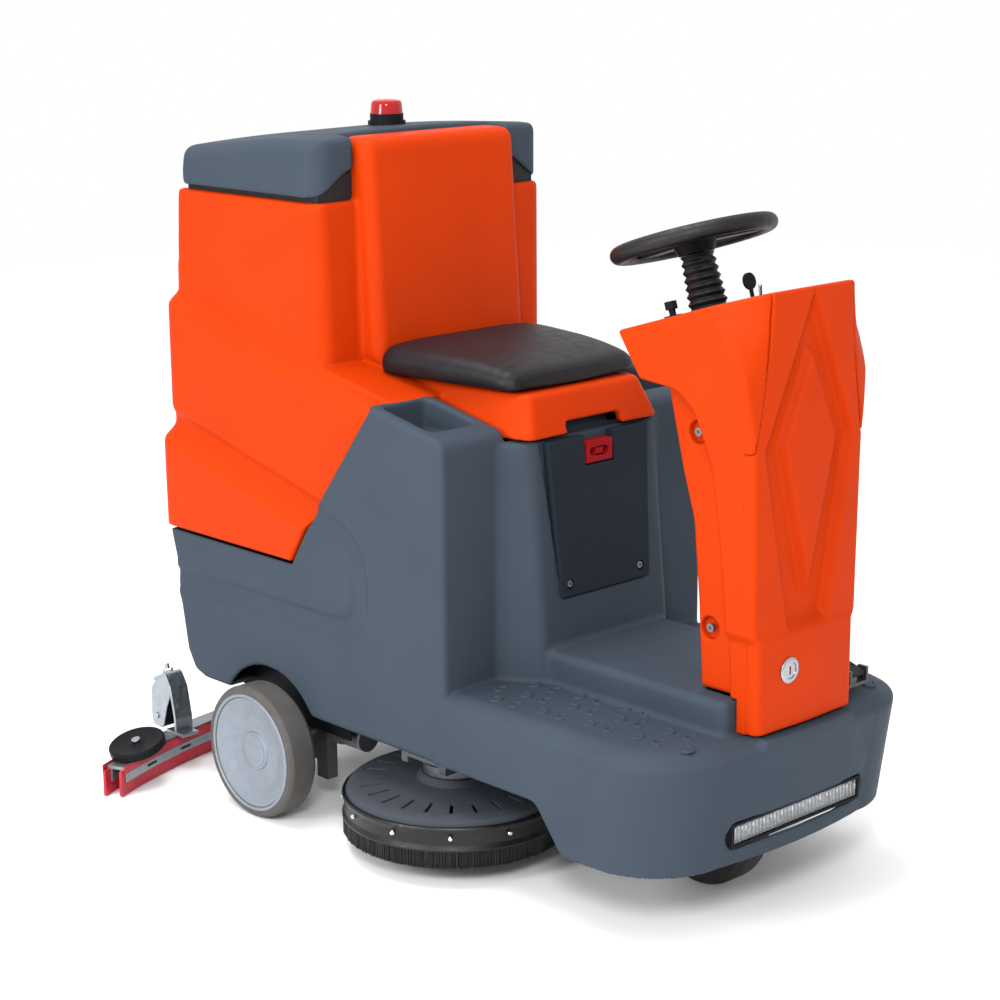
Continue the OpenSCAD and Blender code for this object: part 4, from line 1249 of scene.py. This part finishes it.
def crescent(points, faces, x, y, turn):
    """Add one raised crescent of the deck's tread."""
    start = len(points)
    spans = np.linspace(math.radians(-112), math.radians(112), 15)
    for a in spans:
        wide = 3.4 * math.cos(a * 0.72)
        for r, z in ((12 + wide, -0.2), (12 + wide * 0.55, 3.2), (12 - wide * 0.55, 3.2), (12 - wide, -0.2)):
            points.append(tuple(row(x + r * math.cos(a + turn), y + r * math.sin(a + turn), DECK_TOP + z)))
    for i in range(len(spans) - 1):
        for k in range(3):
            a = start + 4 * i + k
            faces.append((a, a + 1, a + 5, a + 4))
    faces.append(tuple(start + k for k in (3, 2, 1, 0)))
    end = start + 4 * (len(spans) - 1)
    faces.append(tuple(end + k for k in (0, 1, 2, 3)))


def tread():
    points, faces = [], []
    rows = ((541, -178, 0.11, 0), (521, -233, 0.12, 1), (550, -278, 0.116, 0))
    for first, across, slope, odd in rows:
        for i in range(9):
            x = first + 49 * i
            y = across + slope * (x - first)
            if x > 945 or abs(y) > 290:
                continue
            turn = math.pi * ((i + odd) % 2) + 0.4
            for side in (1, -1):
                crescent(points, faces, x, side * y, side * turn)
    mesh = bpy.data.meshes.new("deck_tread")
    mesh.from_pydata(points, [], faces)
    mesh.shade_smooth()
    obj = link("deck_tread", mesh)
    work = bmesh.new()
    work.from_mesh(mesh)
    bmesh.ops.recalc_face_normals(work, faces=work.faces)
    work.to_mesh(mesh)
    work.free()
    return fitted(obj, GREY, "chassis", None)


tread()

# ------------------------------------------------------------------ headlight


def headlight():
    """A row of bright reflectors behind the clear lens."""
    cup = [(4, 0), (5, 0, 1), (11.5, 9, 1), (12.5, 9), (5.5, -2), (3, -2)]
    for i in range(13):
        y = -144 + 24 * i
        reflector = turned(f"reflector_{i}", cup, (960.5, y, 180), (1, 0, 0.05), 32, 3)
        fitted(reflector, CHROME, "chassis")
        lamp_dot = [(0, 0), (3.4, 0, 1), (3.4, 3.5, 1.5), (0, 4)]
        fitted(turned(f"led_{i}", lamp_dot, (960, y, 180), (1, 0, 0.05), 24, 3), LED, "chassis")


LED = Finish("led_white", "#f7f9ff", 0.3).mottle(0.002, 0.03).set(Emission_Color=(1, 1, 1, 1), Emission_Strength=0.35)
headlight()

# ------------------------------------------------------------------ seat


def seat_field(g):
    plan = g.plan([(156, -400), (156, 194, 34), (330, 178), (470, 156, 34), (480, 0), (478, -400)])
    crown = 890 - 0.05 * (g.x - 160) - 10 * (np.abs(g.x - 290) / 165) ** 3 - 8 * (g.y / 185) ** 4
    cushion = both(plan, (g.z - crown) * 0.97, 24)
    belly = 5 * np.exp(-(((g.z - 852) / 14) ** 2))
    return both(cushion - belly * 0.3, 831.6 - g.z, 6)


def seat():
    grid = Grid((145, 490), 205, (822, 904), 5)
    obj = skin("seat", grid, seat_field(grid), 1)
    obj.data.attributes.remove(obj.data.attributes["custom_normal"])
    before = np.zeros(len(obj.data.vertices) * 3, np.float32)
    obj.data.vertices.foreach_get("co", before)
    before = before.reshape(-1, 3)
    cloth = obj.modifiers.new("cloth", "CLOTH")
    cloth.settings.use_pressure = True
    cloth.settings.uniform_pressure_force = 1.2
    cloth.settings.effector_weights.gravity = 0
    cloth.settings.tension_stiffness = cloth.settings.compression_stiffness = 9
    cloth.settings.bending_stiffness = 9
    for number in range(1, 21):
        scene.frame_set(number)
    settled(obj)
    after = np.zeros(len(obj.data.vertices) * 3, np.float32)
    obj.data.vertices.foreach_get("co", after)
    after = after.reshape(-1, 3)
    move = after - before
    length = np.linalg.norm(move, axis=1, keepdims=True)
    cap = 0.003
    move *= cap * np.tanh(length / cap) / np.maximum(length, 1e-9)
    low, high = (np.array(corner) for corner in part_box("seat_cushion"))
    after = np.clip(before + move, low + [0, 0, 0.0006], high)
    crease_at = np.array(row(436, -128, 868))
    away = after - crease_at
    reach = np.exp(-((away[:, 0] / 0.022) ** 2) - (away[:, 1] / 0.04) ** 2)
    after[:, 2] += 0.0016 * reach * np.sin(away[:, 0] / 0.0042 + away[:, 1] / 0.02)
    obj.data.vertices.foreach_set("co", after.astype(np.float32).ravel())
    obj.data.update()
    obj.modifiers.new("even", "SMOOTH").iterations = 4
    obj.modifiers.new("smooth", "SUBSURF").levels = 1
    obj.modifiers["smooth"].render_levels = 1
    settled(obj)
    obj.data.shade_smooth()
    fitted(obj, VINYL, "tank", "seat_cushion")


VINYL = Finish("black_vinyl", "#131216", 0.46).mottle(0.05, 0.08).gloss(0.02, 0.44, 0.56)
VINYL.grain(0.0022, 0.00025).grain(0.05, 0.0008, strength=0.2).set(Specular_IOR_Level=0.25)
seat()

# ------------------------------------------------------------------ studio

low, high = (Vector(corner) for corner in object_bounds())
centre = (low + high) / 2


def floor():
    finish = Finish("studio_floor", "#fafafb", 0.9).mottle(0.6, 0.005)
    mesh = bpy.data.meshes.new("studio_floor")
    size = 7
    mesh.from_pydata([(-size, -size, 0), (size, -size, 0), (size, size, 0), (-size, size, 0)], [], [(0, 1, 2, 3)])
    mesh.materials.append(finish.material)
    obj = link("studio_floor", mesh)
    obj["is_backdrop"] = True


def lamp(name, place, aim, size, watts, colour="#ffffff"):
    light = bpy.data.lights.new(name, "AREA")
    light.shape, light.size, light.energy = "DISK", size, watts
    light.color = linear(colour)[:3]
    obj = bpy.data.objects.new(name, light)
    scene.collection.objects.link(obj)
    obj.location = place
    obj.rotation_euler = (aim - place).to_track_quat("-Z", "Y").to_euler()
    obj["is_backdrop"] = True


def sky(colour, strength):
    world = bpy.data.worlds.new("studio")
    scene.world = world
    world.use_nodes = True
    background = world.node_tree.nodes["Background"]
    background.inputs["Color"].default_value = linear(colour)
    background.inputs["Strength"].default_value = strength


floor()
sky("#ffffff", 1.0)
lamp("key", row(200, -3800, 1900), centre, 1.2, 80)
lamp("fill", row(2900, -2700, 2600), centre, 1.0, 90)
lamp("top", row(-200, -600, 4200), centre, 2.4, 110)
scene.view_settings.view_transform = "Standard"
